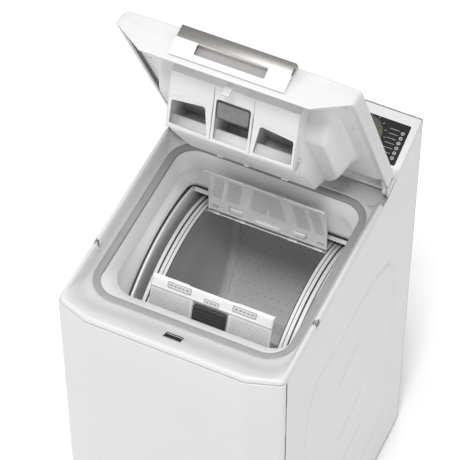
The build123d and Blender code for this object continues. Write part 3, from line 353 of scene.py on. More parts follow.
class Look:
    """A procedural material: mottled colour, uneven roughness and a fine bump."""

    def __init__(self, name, color, roughness, metallic=0.0):
        self.mat = bpy.data.materials.new(name)
        self.mat.use_nodes = True
        self.nodes = self.mat.node_tree.nodes
        self.links = self.mat.node_tree.links
        self.bsdf = self.nodes["Principled BSDF"]
        self.color = color
        self.roughness = roughness
        socket(self.bsdf, "Metallic", metallic)
        self.coords = self.add("ShaderNodeTexCoord").outputs["Object"]
        self.color_out = None
        self.normal_out = None

    def add(self, kind, **inputs):
        node = self.nodes.new(kind)
        for name, value in inputs.items():
            node.inputs[name.replace("_", " ")].default_value = value
        return node

    def link(self, a, b):
        self.links.new(a, b)

    def calc(self, operation, a, b=0.0):
        node = self.nodes.new("ShaderNodeMath")
        node.operation = operation
        for target, value in zip(node.inputs, (a, b)):
            if isinstance(value, (int, float)):
                target.default_value = value
            else:
                self.link(value, target)
        return node.outputs[0]

    def noise(self, size, stretch=(1, 1, 1), detail=3.0):
        mapping = self.add("ShaderNodeMapping")
        mapping.inputs["Scale"].default_value = stretch
        self.link(self.coords, mapping.inputs["Vector"])
        noise = self.add("ShaderNodeTexNoise", Scale=1 / size, Detail=detail)
        self.link(mapping.outputs[0], noise.inputs["Vector"])
        return noise.outputs["Fac"]

    def mottle(self, size, spread, stretch=(1, 1, 1)):
        """Colour that drifts between a darker and a lighter tone."""
        ramp = self.add("ShaderNodeValToRGB")
        for element, place, gain in zip(ramp.color_ramp.elements, (0.3, 0.7), (1 - spread, 1 + spread)):
            element.position = place
            element.color = [min(c * gain, 1.0) for c in self.color] + [1.0]
        self.link(self.noise(size, stretch), ramp.inputs[0])
        self.color_out = ramp.outputs[0]
        return self

    def rough(self, size, spread, stretch=(1, 1, 1)):
        node = self.add("ShaderNodeMapRange")
        node.inputs["To Min"].default_value = max(self.roughness - spread, 0.02)
        node.inputs["To Max"].default_value = self.roughness + spread
        self.link(self.noise(size, stretch), node.inputs["Value"])
        self.link(node.outputs[0], self.bsdf.inputs["Roughness"])
        return self

    def bump(self, height, depth, strength=0.5):
        node = self.add("ShaderNodeBump", Strength=strength, Distance=depth)
        self.link(height, node.inputs["Height"])
        if self.normal_out is not None:
            self.link(self.normal_out, node.inputs["Normal"])
        self.normal_out = node.outputs[0]
        return self

    def grain(self, size, depth, strength=0.4, stretch=(1, 1, 1)):
        return self.bump(self.noise(size, stretch, 4.0), depth, strength)

    def dots(self, u, v, pitch, radius):
        """1 inside round holes on a staggered grid over u and v, else 0."""
        row = self.calc("FLOOR", self.calc("DIVIDE", v, pitch))
        shift = self.calc("MULTIPLY", self.calc("FLOORED_MODULO", row, 2.0), 0.5)
        a = self.calc("FRACT", self.calc("ADD", self.calc("DIVIDE", u, pitch), shift))
        b = self.calc("FRACT", self.calc("DIVIDE", v, pitch))
        da = self.calc("SUBTRACT", a, 0.5)
        db = self.calc("SUBTRACT", b, 0.5)
        d = self.calc("SQRT", self.calc("ADD", self.calc("MULTIPLY", da, da), self.calc("MULTIPLY", db, db)))
        return self.calc("LESS_THAN", d, radius / pitch)

    def darken(self, mask, dark):
        mix = self.nodes.new("ShaderNodeMix")
        mix.data_type = "RGBA"
        self.link(mask, mix.inputs[0])
        self.link(self.color_out, mix.inputs[6])
        mix.inputs[7].default_value = (*dark, 1.0)
        self.color_out = mix.outputs[2]
        return self

    def done(self, coat=0.0, coat_roughness=0.1):
        if self.color_out is not None:
            self.link(self.color_out, self.bsdf.inputs["Base Color"])
        if self.normal_out is not None:
            self.link(self.normal_out, self.bsdf.inputs["Normal"])
        if coat:
            socket(self.bsdf, "Coat Weight", coat)
            socket(self.bsdf, "Coat Roughness", coat_roughness)
        return self.mat


def enamel():
    look = Look("white_enamel", (0.585, 0.58, 0.58), 0.36)
    return look.mottle(0.3, 0.012).rough(0.08, 0.05).grain(0.0016, 0.00003, 0.25).done(0.15, 0.2)


def moulded(name, color, roughness, size=0.0008, depth=0.00005, coat=0.0, spread=0.015):
    look = Look(name, color, roughness)
    return look.mottle(0.12, spread).rough(0.03, 0.06).grain(size, depth, 0.35).done(coat)


def rubber(name, color):
    look = Look(name, color, 0.62)
    return look.mottle(0.02, 0.05).rough(0.01, 0.08).grain(0.0006, 0.00012, 0.5).done()


def brushed(name, color, roughness, stretch, depth=0.00004):
    look = Look(name, color, roughness, 1.0)
    look.mottle(0.004, 0.06, stretch).rough(0.006, 0.08, stretch)
    return look.grain(0.0012, depth, 0.35, stretch).done()


def drum_steel():
    """Satin drum sheet: drain holes inside, a bright rolled rim beyond the door."""
    look = Look("drum_steel", (0.7, 0.705, 0.71), 0.45, 0.05)
    look.mottle(0.12, 0.1).rough(0.05, 0.06)
    split = look.add("ShaderNodeSeparateXYZ")
    look.link(look.coords, split.inputs[0])
    dy = look.calc("SUBTRACT", split.outputs[1], AXIS_Y)
    dz = look.calc("SUBTRACT", split.outputs[2], AXIS_Z)
    arc = look.calc("MULTIPLY", look.calc("ARCTAN2", dz, dy), DRUM_R)
    reach = look.calc("ABSOLUTE", split.outputs[0])
    radius = look.calc("SQRT", look.calc("ADD", look.calc("MULTIPLY", dy, dy), look.calc("MULTIPLY", dz, dz)))
    outside = look.calc("GREATER_THAN", radius, DRUM_R - 0.7 * MM)
    rim = look.calc("MULTIPLY", look.calc("GREATER_THAN", reach, 111 * MM), outside)
    look.darken(rim, (0.68, 0.67, 0.67))
    for line, half in ((112.6, 1.1), (119.5, 0.7), (127.5, 1.6)):
        near = look.calc("LESS_THAN", look.calc("ABSOLUTE", look.calc("SUBTRACT", reach, line * MM)), half * MM)
        look.darken(look.calc("MULTIPLY", near, outside), (0.03, 0.03, 0.03))
    holes = look.dots(split.outputs[0], arc, 15 * MM, 1.1 * MM)
    holes = look.calc("MULTIPLY", holes, look.calc("SUBTRACT", 1.0, rim))
    look.darken(holes, (0.34, 0.34, 0.345))
    inverse = look.calc("SUBTRACT", 1.0, holes)
    return look.bump(inverse, 0.0004, 0.4).grain(0.002, 0.00003, 0.3, (0.1, 1, 1)).done()


def end_steel():
    look = Look("drum_end_steel", (0.72, 0.725, 0.73), 0.42, 0.05)
    return look.mottle(0.1, 0.08).rough(0.04, 0.06).grain(0.002, 0.00004, 0.3).done()


def flap_steel():
    """Light steel; the painted mask says where the sheet is perforated."""
    look = Look("flap_steel", (0.74, 0.735, 0.745), 0.42, 0.0)
    look.mottle(0.03, 0.05).rough(0.02, 0.06)
    uv = look.add("ShaderNodeUVMap")
    uv.uv_map = "sheet"
    split = look.add("ShaderNodeSeparateXYZ")
    look.link(uv.outputs[0], split.inputs[0])
    mask = look.add("ShaderNodeAttribute")
    mask.attribute_name = "pierced"
    holes = look.dots(split.outputs[0], split.outputs[1], 3.6 * MM, 1.15 * MM)
    holes = look.calc("MULTIPLY", holes, mask.outputs["Fac"])
    look.darken(holes, (0.3, 0.3, 0.305))
    inverse = look.calc("SUBTRACT", 1.0, holes)
    return look.bump(inverse, 0.0005, 0.7).grain(0.0015, 0.00003, 0.3).done()


def glass_black():
    look = Look("console_glass", (0.008, 0.008, 0.009), 0.3)
    socket(look.bsdf, "Specular IOR Level", 0.25)
    return look.mottle(0.05, 0.2).rough(0.02, 0.05).grain(0.01, 0.00001, 0.1).done()


def smoky():
    look = Look("smoky_plastic", (0.17, 0.17, 0.175), 0.25)
    socket(look.bsdf, "Alpha", 0.86)
    return look.mottle(0.01, 0.12).rough(0.006, 0.06).grain(0.002, 0.00003, 0.2).done(0.4, 0.1)


def concrete():
    look = Look("cast_weight", (0.42, 0.42, 0.4), 0.85)
    return look.mottle(0.012, 0.15).rough(0.01, 0.08).grain(0.003, 0.0006, 0.7).done()


LOOKS = {
    "painted_steel": enamel(),
    "galvanised_steel": brushed("zinc_sheet", (0.62, 0.63, 0.64), 0.42, (1, 1, 0.3)),
    "white_plastic": moulded("white_plastic", (0.56, 0.558, 0.558), 0.42, coat=0.06),
    "liner_plastic": moulded("liner_plastic", (0.62, 0.62, 0.63), 0.42, coat=0.08),
    "throat_plastic": moulded("throat_plastic", (0.82, 0.815, 0.815), 0.45),
    "handle_plastic": moulded("handle_plastic", (0.6, 0.598, 0.598), 0.4, coat=0.06),
    "brushed_trim": brushed("brushed_trim", (0.3, 0.29, 0.28), 0.42, (0.02, 1, 1)),
    "grey_seal": rubber("grey_seal", (0.27, 0.27, 0.262)),
    "black_rubber": rubber("black_rubber", (0.035, 0.035, 0.036)),
    "belt_rubber": rubber("belt_rubber", (0.025, 0.025, 0.025)),
    "foot_plastic": moulded("foot_plastic", (0.05, 0.05, 0.052), 0.5),
    "grey_plastic": moulded("grey_plastic", (0.3, 0.31, 0.32), 0.48),
    "black_gloss": glass_black(),
    "knob_plastic": moulded("knob_plastic", (0.055, 0.058, 0.045), 0.32, coat=0.3),
    "circuit_board": moulded("circuit_board", (0.03, 0.16, 0.06), 0.4, coat=0.4),
    "smoky_plastic": smoky(),
    "tub_plastic": moulded("tub_plastic", (0.78, 0.775, 0.77), 0.5, 0.002, 0.0001),
    "drum_steel": drum_steel(),
    "flap_steel": flap_steel(),
    "button_plastic": moulded("button_plastic", (0.035, 0.036, 0.038), 0.45),
    "machined_steel": brushed("machined_steel", (0.5, 0.5, 0.5), 0.5, (1, 0.2, 0.2)),
    "dark_metal": moulded("dark_metal", (0.035, 0.035, 0.038), 0.4, coat=0.2),
    "cast_alloy": brushed("cast_alloy", (0.6, 0.6, 0.61), 0.45, (1, 1, 1), 0.0002),
    "concrete": concrete(),
    "pocket": moulded("pocket_lining", (0.3, 0.29, 0.285), 0.45, coat=0.1),
    "drum_ends": end_steel(),
}


def dress_cad_nodes():
    slots = {part["node"]: part["material_slot"] for part in frame["record"]["subparts"]}
    for name, obj in NODES.items():
        for material_slot in obj.material_slots:
            material_slot.material = LOOKS[slots[name]]


# ---------------------------------------------------------------- cabinet
def top_line(y):
    """Height of the side panel's top edge."""
    rise = (CONSOLE_TOP - BODY_TOP) / (REAR_Y + 2 * MM - CONSOLE_SLOPE_Y)
    return BODY_TOP + max(y - CONSOLE_SLOPE_Y, 0.0) * rise


def side_beads():
    """Lines pressed into a side panel, as (y, z) paths."""
    frame_line = [(-0.181, 0.52), (-0.178, 0.6), (-0.161, 0.647), (-0.128, 0.679), (-0.062, 0.666),
                  (0.03, 0.671), (0.116, 0.662), (0.181, 0.624), (0.204, 0.56), (0.207, 0.191),
                  (0.199, 0.156), (0.109, 0.122), (-0.06, 0.122), (-0.15, 0.16), (-0.181, 0.22)]
    frame_line.append(frame_line[0])
    strokes = [[(-0.031, 0.537), (0.04, 0.558)], [(-0.026, 0.359), (0.071, 0.375)],
               [(-0.026, 0.25), (0.071, 0.266)]]
    return frame_line, strokes


def side_relief(y, z, frame_line, strokes):
    inside = 1.0 - smooth((path_distance((y, z), frame_line) - 1.5 * MM) / (5 * MM))
    depth = 1.3 * MM * inside
    for stroke in strokes:
        near = path_distance((y, z), stroke)
        depth += 1.6 * MM * (1.0 - smooth((near - 4 * MM) / (6 * MM)))
    return depth


def side_panel(side, name):
    """Pressed sheet with folded edges; the beads sink into its face."""
    y0, y1 = CORNER_Y + 3 * MM, REAR_Y - 1.5 * MM
    z0 = low(name)[2]
    frame_line, strokes = side_beads()
    fold = 3 * MM
    ys = [y0] + [y0 + fold * t for t in (0.15, 0.5, 1)]
    count = 110
    ys += [y0 + fold + (y1 - y0 - 2 * fold) * k / count for k in range(1, count + 1)]
    ys += [y1 - fold * t for t in (0.5, 0.15, 0)]
    rows = [0.0, 0.001, 0.002, 0.0035] + [0.0035 + 0.993 * k / 160 for k in range(1, 161)] + [0.998, 0.999, 1.0]

    def place(y, v):
        top = top_line(y) - 8 * MM
        z = z0 + (top - z0) * v
        edge = min(y - y0, y1 - y, top - z + 1 * MM, z - z0)
        bend = fold - math.sqrt(max(fold ** 2 - max(fold - edge, 0.0) ** 2, 0.0))
        depth = side_relief(y, z, frame_line, strokes)
        return (side * (HALF_W - bend - depth), y, z)

    skin = grid(name + "_skin", ys, rows, place)
    if side < 0:
        skin.data.flip_normals()
    thicken(skin, 1.0 * MM)
    piece(skin, "cabinet", "painted_steel", [name])


def front_path():
    """Bowed front seen from above, left to right, with soft corners."""
    points = [(-HALF_W, CORNER_Y + 12 * MM), (-HALF_W, CORNER_Y), (-BOW_HALF, FRONT_Y),
              (BOW_HALF, FRONT_Y), (HALF_W, CORNER_Y), (HALF_W, CORNER_Y + 12 * MM)]
    return fillet(points, [0, 10 * MM, 60 * MM, 60 * MM, 10 * MM, 0], 8, closed=False)


def front_panel():
    path = front_path()
    z0, z1 = low("front_panel")[2], PANEL_TOP
    steps = [(1.2, 0), (0.3, 0.4), (0, 1.5), (0, 150), (0, 300), (0, 450), (0, 600)]
    levels = [(inset * MM, z0 + dz * MM) for inset, dz in steps]
    steps = [(0, 1.5), (0.3, 0.4), (1.2, 0), (3, 0), (3, 4)]
    levels += [(inset * MM, z1 - dz * MM) for inset, dz in steps]
    loops = [[Vector((p.x, p.y, z)) for p in offset(path, inset)] for inset, z in levels]
    skin = rings("front_skin", loops, closed=False)
    piece(skin, "cabinet", "painted_steel", ["front_panel"])


def kick_plate():
    """Plinth with the opening of the pump filter."""
    door_low, door_high = low("filter_door"), high("filter_door")
    z0, z1 = low("kick_plate")[2], KICK_TOP
    inset = 0.8 * MM
    path = subdivide(offset(front_path(), inset), 12 * MM)
    gap = 0.5 * MM
    xs = sorted({round(p.x, 6) for p in path} | {door_low[0] - gap, door_high[0] + gap})
    zs = sorted({z0, z0 + 1 * MM, door_low[2] - gap, door_high[2] + gap, z1 - 1 * MM, z1, 0.5 * (z0 + z1)})

    def face_y(x):
        reach = abs(x) - BOW_HALF
        return FRONT_Y + inset + (20 * MM * max(reach, 0) / (HALF_W - BOW_HALF))

    verts, faces = [], []
    xs = [x for x in xs if abs(x) < HALF_W - 1.6 * MM]
    for z in zs:
        tuck = 0.8 * MM if z in (z0, z1) else 0.0
        verts += [(x, face_y(x) + tuck, z) for x in xs]
    n = len(xs)
    for j in range(len(zs) - 1):
        for i in range(n - 1):
            xm, zm = (xs[i] + xs[i + 1]) / 2, (zs[j] + zs[j + 1]) / 2
            if door_low[0] - gap < xm < door_high[0] + gap and door_low[2] - gap < zm < door_high[2] + gap:
                continue
            faces.append((j * n + i, j * n + i + 1, (j + 1) * n + i + 1, (j + 1) * n + i))
    skin = mesh_object("kick_skin", verts, faces)
    thicken(skin, 2 * MM)
    piece(skin, "cabinet", "white_plastic", ["kick_plate"])


def filter_door():
    lo, hi = low("filter_door"), high("filter_door")
    outline = fillet([(lo[0], lo[2]), (hi[0], lo[2]), (hi[0], hi[2]), (lo[0], hi[2])],
                     [1.5 * MM, 1.5 * MM, 4 * MM, 4 * MM])
    slot = rect(12 * MM, 2.5 * MM, 2 * MM, hi[0] - 20 * MM, hi[2] - 9.5 * MM)
    door = plate("filter_door_leaf", outline, [slot], 2 * MM, 0.5 * MM)
    piece(door, "filter_door", "white_plastic", ["filter_door"],
          Matrix.Translation((0, lo[1], 0)) @ UPRIGHT)


def rear_panel():
    """Zinc-coated back with pressed ribs and the holes of the water and mains fittings."""
    y1 = high("rear_panel")[1] - 0.2 * MM
    z0, z1 = low("rear_panel")[2], high("rear_panel")[2]
    x = HALF_W - 0.3 * MM
    outline = fillet([(-x, z0), (x, z0), (x, z1), (-x, z1)], [2 * MM] * 4, 4)
    valve, spigot, mains = (150, 800, 13.5), (-182, 780, 12.5), (-60, 760, 9.5)
    holes = [circle(cx * MM, cz * MM, radius * MM, 28) for cx, cz, radius in (valve, spigot, mains)]
    holes += [rect(13 * MM, 2 * MM, 1.9 * MM, (-54 + 36 * column) * MM, (640 + 12 * row) * MM, 4)
              for row in range(7) for column in range(4)]
    sheet = plate("rear_sheet", outline, holes, 1.2 * MM, 0.3 * MM)
    sheet.data.transform(Matrix.Translation((0, y1 - 1.2 * MM, 0)) @ UPRIGHT)
    ribs = []
    for z in (120, 210, 300, 390, 480, 570):
        path = [Vector((t * 150 * MM, y1 - 0.4 * MM, z * MM)) for t in (-1, -0.97, 0.97, 1)]
        ribs.append(rib_bar(f"rib_{z}", path, 6 * MM, 1.6 * MM))
    back = join("rear_skin", [sheet] + ribs)
    piece(back, "cabinet", "galvanised_steel", ["rear_panel"])


def rib_bar(name, path, half_height, out):
    """Shallow pressed rib along X that tapers out at its ends."""
    loops = []
    for i, p in enumerate(path):
        size = 0.15 if i in (0, len(path) - 1) else 1.0
        loop = []
        for k in range(9):
            angle = math.pi * k / 8
            sunk = 0.2 * MM if k in (0, 8) else 0.0
            rise = Vector((0, out * size * math.sin(angle) - sunk, half_height * size * math.cos(angle)))
            loop.append(p + rise)
        loops.append(loop)
    return rings(name, loops, capped=True)


def top_frame():
    """Sloped mouth round the opening, from the cabinet's edge down to the seal."""
    edge = [(3.2, 3.2, 146, 8, PANEL_TOP - 6 * MM, 1.0), (0.9, 1.9, 146, 10, PANEL_TOP + 1.5 * MM, 1.0),
            (0.1, 1.0, 146, 10, PANEL_TOP + 2.1 * MM, 1.0), (0.3, 2.0, 146, 10, PANEL_TOP + 4.6 * MM, 1.0),
            (1.4, 3.4, 145, 10, PANEL_TOP + 7.4 * MM, 1.0), (3.0, 5.4, 144, 10, BODY_TOP - 0.7 * MM, 1.0),
            (5.0, 8.0, 143, 12, BODY_TOP, 0.95), (7.5, 12.0, 143, 16, BODY_TOP - 0.6 * MM, 0.8)]
    specs = [(HALF_W - inset * MM, FRONT_Y + back * MM, rear * MM, radius * MM, z, bowed)
             for inset, back, rear, radius, z, bowed in edge]
    top_x, top_front, top_rear, top_r = HALF_W - 7.5 * MM, FRONT_Y + 12 * MM, 143 * MM, 16 * MM
    for k in range(1, 11):
        t = k / 10
        drop = t - 0.06 * math.sin(2 * math.pi * t)
        specs.append((top_x + (SEAL_X - top_x) * t, top_front + (SEAL_FRONT - top_front) * t,
                      top_rear + (SEAL_REAR - top_rear) * t, top_r + (SEAL_R - top_r) * t,
                      BODY_TOP - 0.6 * MM + (SEAL_TOP + 0.6 * MM - BODY_TOP + 0.6 * MM) * drop, 0.8 * (1 - t)))
    for inset, z in ((0.4 * MM, SEAL_TOP - 0.4 * MM), (0.5 * MM, SEAL_LOW - 1 * MM)):
        specs.append((SEAL_X - inset, SEAL_FRONT + inset, SEAL_REAR - inset, SEAL_R, z, 0.0))
    loops = []
    for half_x, front, rear, radius, z, bowed in specs:
        loop = []
        for p in opening_loop(half_x, front, rear, radius, 8, 66):
            y = p.y + (bow(p.x) * bowed if p.y < -0.15 else 0.0)
            height = z
            low_rear = smooth((y - 126 * MM) / (8 * MM))
            if z > SEAL_TOP:
                height = z + (SEAL_TOP - z) * low_rear
            loop.append(Vector((p.x, y, height)))
        loops.append(loop)
    skin = rings("top_frame_skin", loops)
    cut_faces(skin, latch_centre())
    shelf = grid("rear_shelf", [(-198.5 + 397 * k / 20) * MM for k in range(21)],
                 [(139 + 5 * k) * MM for k in range(10)], lambda x, y: (x, y, SEAL_TOP - 0.6 * MM))
    thicken(shelf, 1.6 * MM)
    frame_top = join("top_frame_all", [skin, shelf])
    piece(frame_top, "cabinet", "white_plastic", ["top_frame"])
    latch_slot()


def latch_centre():
    return (FRONT_Y + SEAL_FRONT) / 2 + 1 * MM


def cut_faces(obj, y):
    """Opens the frame's skin for the lid's hook."""
    bm = bmesh.new()
    bm.from_mesh(obj.data)
    inside = [f for f in bm.faces if abs(f.calc_center_median().x) < 14 * MM
              and abs(f.calc_center_median().y - y) < 7.5 * MM and f.calc_center_median().z > SEAL_TOP]
    bmesh.ops.delete(bm, geom=inside, context="FACES")
    bm.to_mesh(obj.data)
    bm.free()


def latch_slot():
    """Dark well of the lid lock in the front slope, with its raised surround."""
    y = latch_centre()
    t = (y - (FRONT_Y + 12 * MM)) / (SEAL_FRONT - FRONT_Y - 12 * MM)
    z = BODY_TOP - 0.6 * MM + (SEAL_TOP + 1.2 * MM - BODY_TOP) * (t - 0.06 * math.sin(2 * math.pi * t))
    tilt = math.atan2(SEAL_TOP - BODY_TOP, SEAL_FRONT - FRONT_Y - 12 * MM)
    inner = rect(14.5 * MM, 8.5 * MM, 1.2 * MM)
    place = Matrix.Translation((0, y, z + 0.6 * MM)) @ Matrix.Rotation(tilt, 4, "X")
    ring = plate("latch_surround", rect(17 * MM, 11 * MM, 2.5 * MM), [inner], 1.6 * MM, 0.5 * MM)
    piece(ring, "cabinet", "white_plastic", moved=place)
    well = plate("latch_well", rect(15.5 * MM, 9.5 * MM, 1.6 * MM), [inner], 14 * MM, 0.1 * MM)
    piece(well, "cabinet", "foot_plastic", moved=place @ Matrix.Translation((0, 0, 0.1 * MM)))


def seal_and_throat():
    inner_x, inner_front, inner_rear = SEAL_X - SEAL_WIDTH, SEAL_FRONT + SEAL_WIDTH, SEAL_REAR - SEAL_WIDTH
    inner_r = SEAL_R - SEAL_WIDTH
    seal = []
    for t, dz in ((0.0, -5.6), (0.0, -1.2), (0.06, -0.4), (0.16, 0.0), (0.5, 0.5), (0.84, 0.0), (0.95, -0.5),
                  (1.0, -1.5), (1.0, -6.5)):
        grow = t * SEAL_WIDTH
        z = SEAL_TOP - 0.5 * MM + dz * MM
        loop = opening_loop(SEAL_X - grow, SEAL_FRONT + grow, SEAL_REAR - grow, SEAL_R - grow, 10, 12)
        seal.append([Vector((p.x, p.y, z)) for p in loop])
    ring = rings("seal_strip", seal)
    piece(ring, "cabinet", "grey_seal", ["opening_seal"])

    mouth = (inner_x + 1 * MM, inner_front - 1 * MM, inner_rear + 1 * MM, inner_r + 1 * MM)
    waist = (inner_x - 7 * MM, LIP_Y, 127 * MM, 42 * MM)
    foot = (150 * MM, LIP_Y, 123 * MM, 14 * MM)
    loops = []
    for t in (-0.03, 0.0, 0.03, 0.1, 0.25, 0.4, 0.55, 0.7, 0.85, 0.93, 0.97, 1.0):
        size = [a + (b - a) * min(max(t, 0), 1) for a, b in zip(mouth, waist)]
        z = SEAL_TOP - 3 * MM + (LIP_Z - SEAL_TOP + 3 * MM) * t
        z += 2.5 * MM * math.sin(math.pi * min(max(t, 0), 1))
        loops.append([Vector((p.x, p.y, z)) for p in opening_loop(*size, 10, 16)])
    for t in (0.03, 0.07, 0.15, 0.3, 0.5, 0.7, 0.85, 1.0, 1.0):
        size = [a + (b - a) * smooth(t) for a, b in zip(waist, foot)]
        size[3] = waist[3] + (foot[3] - waist[3]) * t
        ring = []
        for p in opening_loop(*size, 10, 16):
            clear = THROAT_LOW_R + 4 * MM + 9 * MM * (1 - smooth((abs(p.x) - 9 * MM) / (5 * MM)))
            foot_z = AXIS_Z + math.sqrt(clear ** 2 - (p.y - AXIS_Y) ** 2)
            ring.append(Vector((p.x, p.y, LIP_Z + (foot_z - LIP_Z) * t)))
        loops.append(ring)
    outside = []
    lip = 2.5 * MM
    for p in loops[-1]:
        outside.append(p + Vector((math.copysign(lip, p.x), math.copysign(lip, p.y - AXIS_Y), 0)))
    loops[-1] = [a.lerp(b, 0.5) - Vector((0, 0, 0.6 * MM)) for a, b in zip(loops[-1], outside)]
    loops.append(outside)
    loops.append([p + Vector((0, 0, 10 * MM)) for p in outside])
    bowl = rings("throat_skin", loops)
    piece(bowl, "cabinet", "throat_plastic", ["throat_bowl"])


def console():
    """Sloped housing behind the lid, black glass, dial marks and thin icons."""
    y0, y1 = 181 * MM, REAR_Y - 2.6 * MM
    x = HALF_W - 0.3 * MM
    slope = math.atan2(CONSOLE_TOP - BODY_TOP, REAR_Y - CONSOLE_SLOPE_Y)

    def height(y):
        return BODY_TOP + (y - CONSOLE_SLOPE_Y) * math.tan(slope)

    outline = [(y0, 830 * MM), (y0, height(y0)), (y1, height(y1)), (y1, 830 * MM)]
    box = along_x("console_box", outline, -x, x)
    box = rounded(box, 3 * MM, 4)
    ears = []
    for side in (-1, 1):
        a, b = span(side, 194.5 * MM, 198.3 * MM)
        ear = fillet(mm((150, 832), (190, 832), (190, 864), (146, 864)), [2 * MM, 2 * MM, 4 * MM, 9 * MM])
        ears.append(along_x(f"ear_{side}", ear, a, b, 0.6 * MM))
    housing = join("console_skin", [box] + ears)
    piece(housing, "cabinet", "white_plastic", ["console_housing"])

    lo, hi = low("display_panel"), high("display_panel")
    tilt = Matrix.Rotation(slope, 4, "X")
    mid_y = (lo[1] + hi[1]) / 2
    place = Matrix.Translation((0, mid_y, height(mid_y) + 0.5 * MM)) @ tilt
    half_y = (hi[1] - lo[1]) / 2 / math.cos(slope)
    half_x = hi[0]
    knob = JOINTS["programme_turn"]["pos_m"]
    knob_v = (knob[1] - mid_y) / math.cos(slope)
    well = circle(knob[0], knob_v, 4.2 * MM)
    panel = plate("display_glass", rect(half_x, half_y, 2.5 * MM), [well], 1.4 * MM, 0.3 * MM)
    piece(panel, "cabinet", "black_gloss", ["display_panel"], place)
    marks = console_marks(knob[0], knob_v, half_x, half_y)
    piece(marks, "cabinet", "handle_plastic", moved=place @ Matrix.Translation((0, 0, 0.6 * INK)))

    profile = [(18, 3.4), (27.5, 3.1), (29.2, 2.4), (29.8, 1.2), (29.8, 0.35)]
    steps = 64
    loops = [[Vector((r * MM * math.cos(2 * math.pi * k / steps), r * MM * math.sin(2 * math.pi * k / steps),
                      h * MM + (0.25 * MM if r > 29 and k % 2 else 0))) for k in range(steps)]
             for r, h in profile]
    disc = rings("dial_disc", loops, capped=True)
    grip = plate("dial_grip", rect(24 * MM, 3 * MM, 2.9 * MM), [], 3 * MM, 0.8 * MM)
    grip.data.transform(Matrix.Rotation(math.radians(35), 4, "Z") @ Matrix.Translation((0, 0, 5.4 * MM)))
    dial = join("dial", [disc, grip])
    turn = Matrix.Translation(knob) @ tilt
    piece(dial, "knob", "knob_plastic", ["programme_knob"], turn)


INK = 0.2 * MM                          # thickness of the printed marks


def console_marks(knob_x, knob_v, half_x, half_y):
    """Plain printed lines, dots and small generic symbols, as thin raised ink."""
    bars = []

    def bar(cx, cy, length, width, angle=0.0):
        obj = plate(f"mark_{len(bars)}", rect(length / 2, width / 2, 0.0), [], INK)
        obj.data.transform(Matrix.Translation((cx, cy, 0)) @ Matrix.Rotation(angle, 4, "Z"))
        bars.append(obj)

    for k in range(7):
        v = -half_y + (10 + 8.6 * k) * MM
        bar(knob_x + 46 * MM, v, 17 * MM, 0.45 * MM)
    for k in range(6):
        v = -half_y + (12 + 9.4 * k) * MM
        x = half_x - 9 * MM
        bars.append(plate(f"icon_{k}", circle(x, v, 2.9 * MM), [circle(x, v, 2.1 * MM)], INK))
        bar(x, v, 2.2 * MM, 0.7 * MM, k)
    for k in range(16):
        angle = 2 * math.pi * k / 16
        bar(knob_x + 34 * MM * math.cos(angle), knob_v + 33 * MM * math.sin(angle), 3 * MM, 0.6 * MM, angle)
    for k in range(9):
        x = -half_x + (18 + 20 * k) * MM
        bar(x, -half_y + 14 * MM, 9 * MM, 0.6 * MM)
        bar(x, half_y - 16 * MM, 5 * MM, 0.6 * MM)
        bar(x, half_y - 19 * MM, 5 * MM, 0.6 * MM)
    bar(-20 * MM, 2 * MM, 42 * MM, 0.4 * MM)
    bar(-20 * MM, -16 * MM, 42 * MM, 0.4 * MM)
    return join("console_marks", bars)


# ---------------------------------------------------------------- lid, modelled closed
def lid_outline(fraction):
    """Lid seen from above at a fraction of the way from its top to the low front rim."""
    front = LID_FRONT + (RIM_Y - LID_FRONT) * fraction
    corner = LID_CORNER + (RIM_Y - 3 * MM - LID_CORNER) * fraction
    x = HALF_W
    points = [(-x, 130 * MM), (-x, corner), (-RIM_HALF, front), (RIM_HALF, front), (x, corner), (x, 130 * MM)]
    path = fillet(points, [0, 9 * MM, 30 * MM, 30 * MM, 9 * MM, 0], 7, closed=False)
    half = path[:len(path) // 2]
    side = [half[0].lerp(half[1], k / 6) for k in range(6)]
    middle = [Vector((-RIM_HALF * 0.8 + RIM_HALF * 0.16 * k, path[len(path) // 2].y)) for k in range(11)]
    mirrored = [Vector((-p.x, p.y)) for p in reversed(side + half[1:])]
    return side + half[1:] + middle + mirrored


def skirt_bottom(x, y):
    """Lower edge of the lid's skirt: low in front, high along the sides."""
    if y > -255 * MM:
        return SKIRT_Z
    t = (abs(x) - RIM_HALF) / (HALF_W - 1 * MM - RIM_HALF)
    return RIM_Z + (SKIRT_Z - RIM_Z) * min(max(t, 0.0), 1.0)


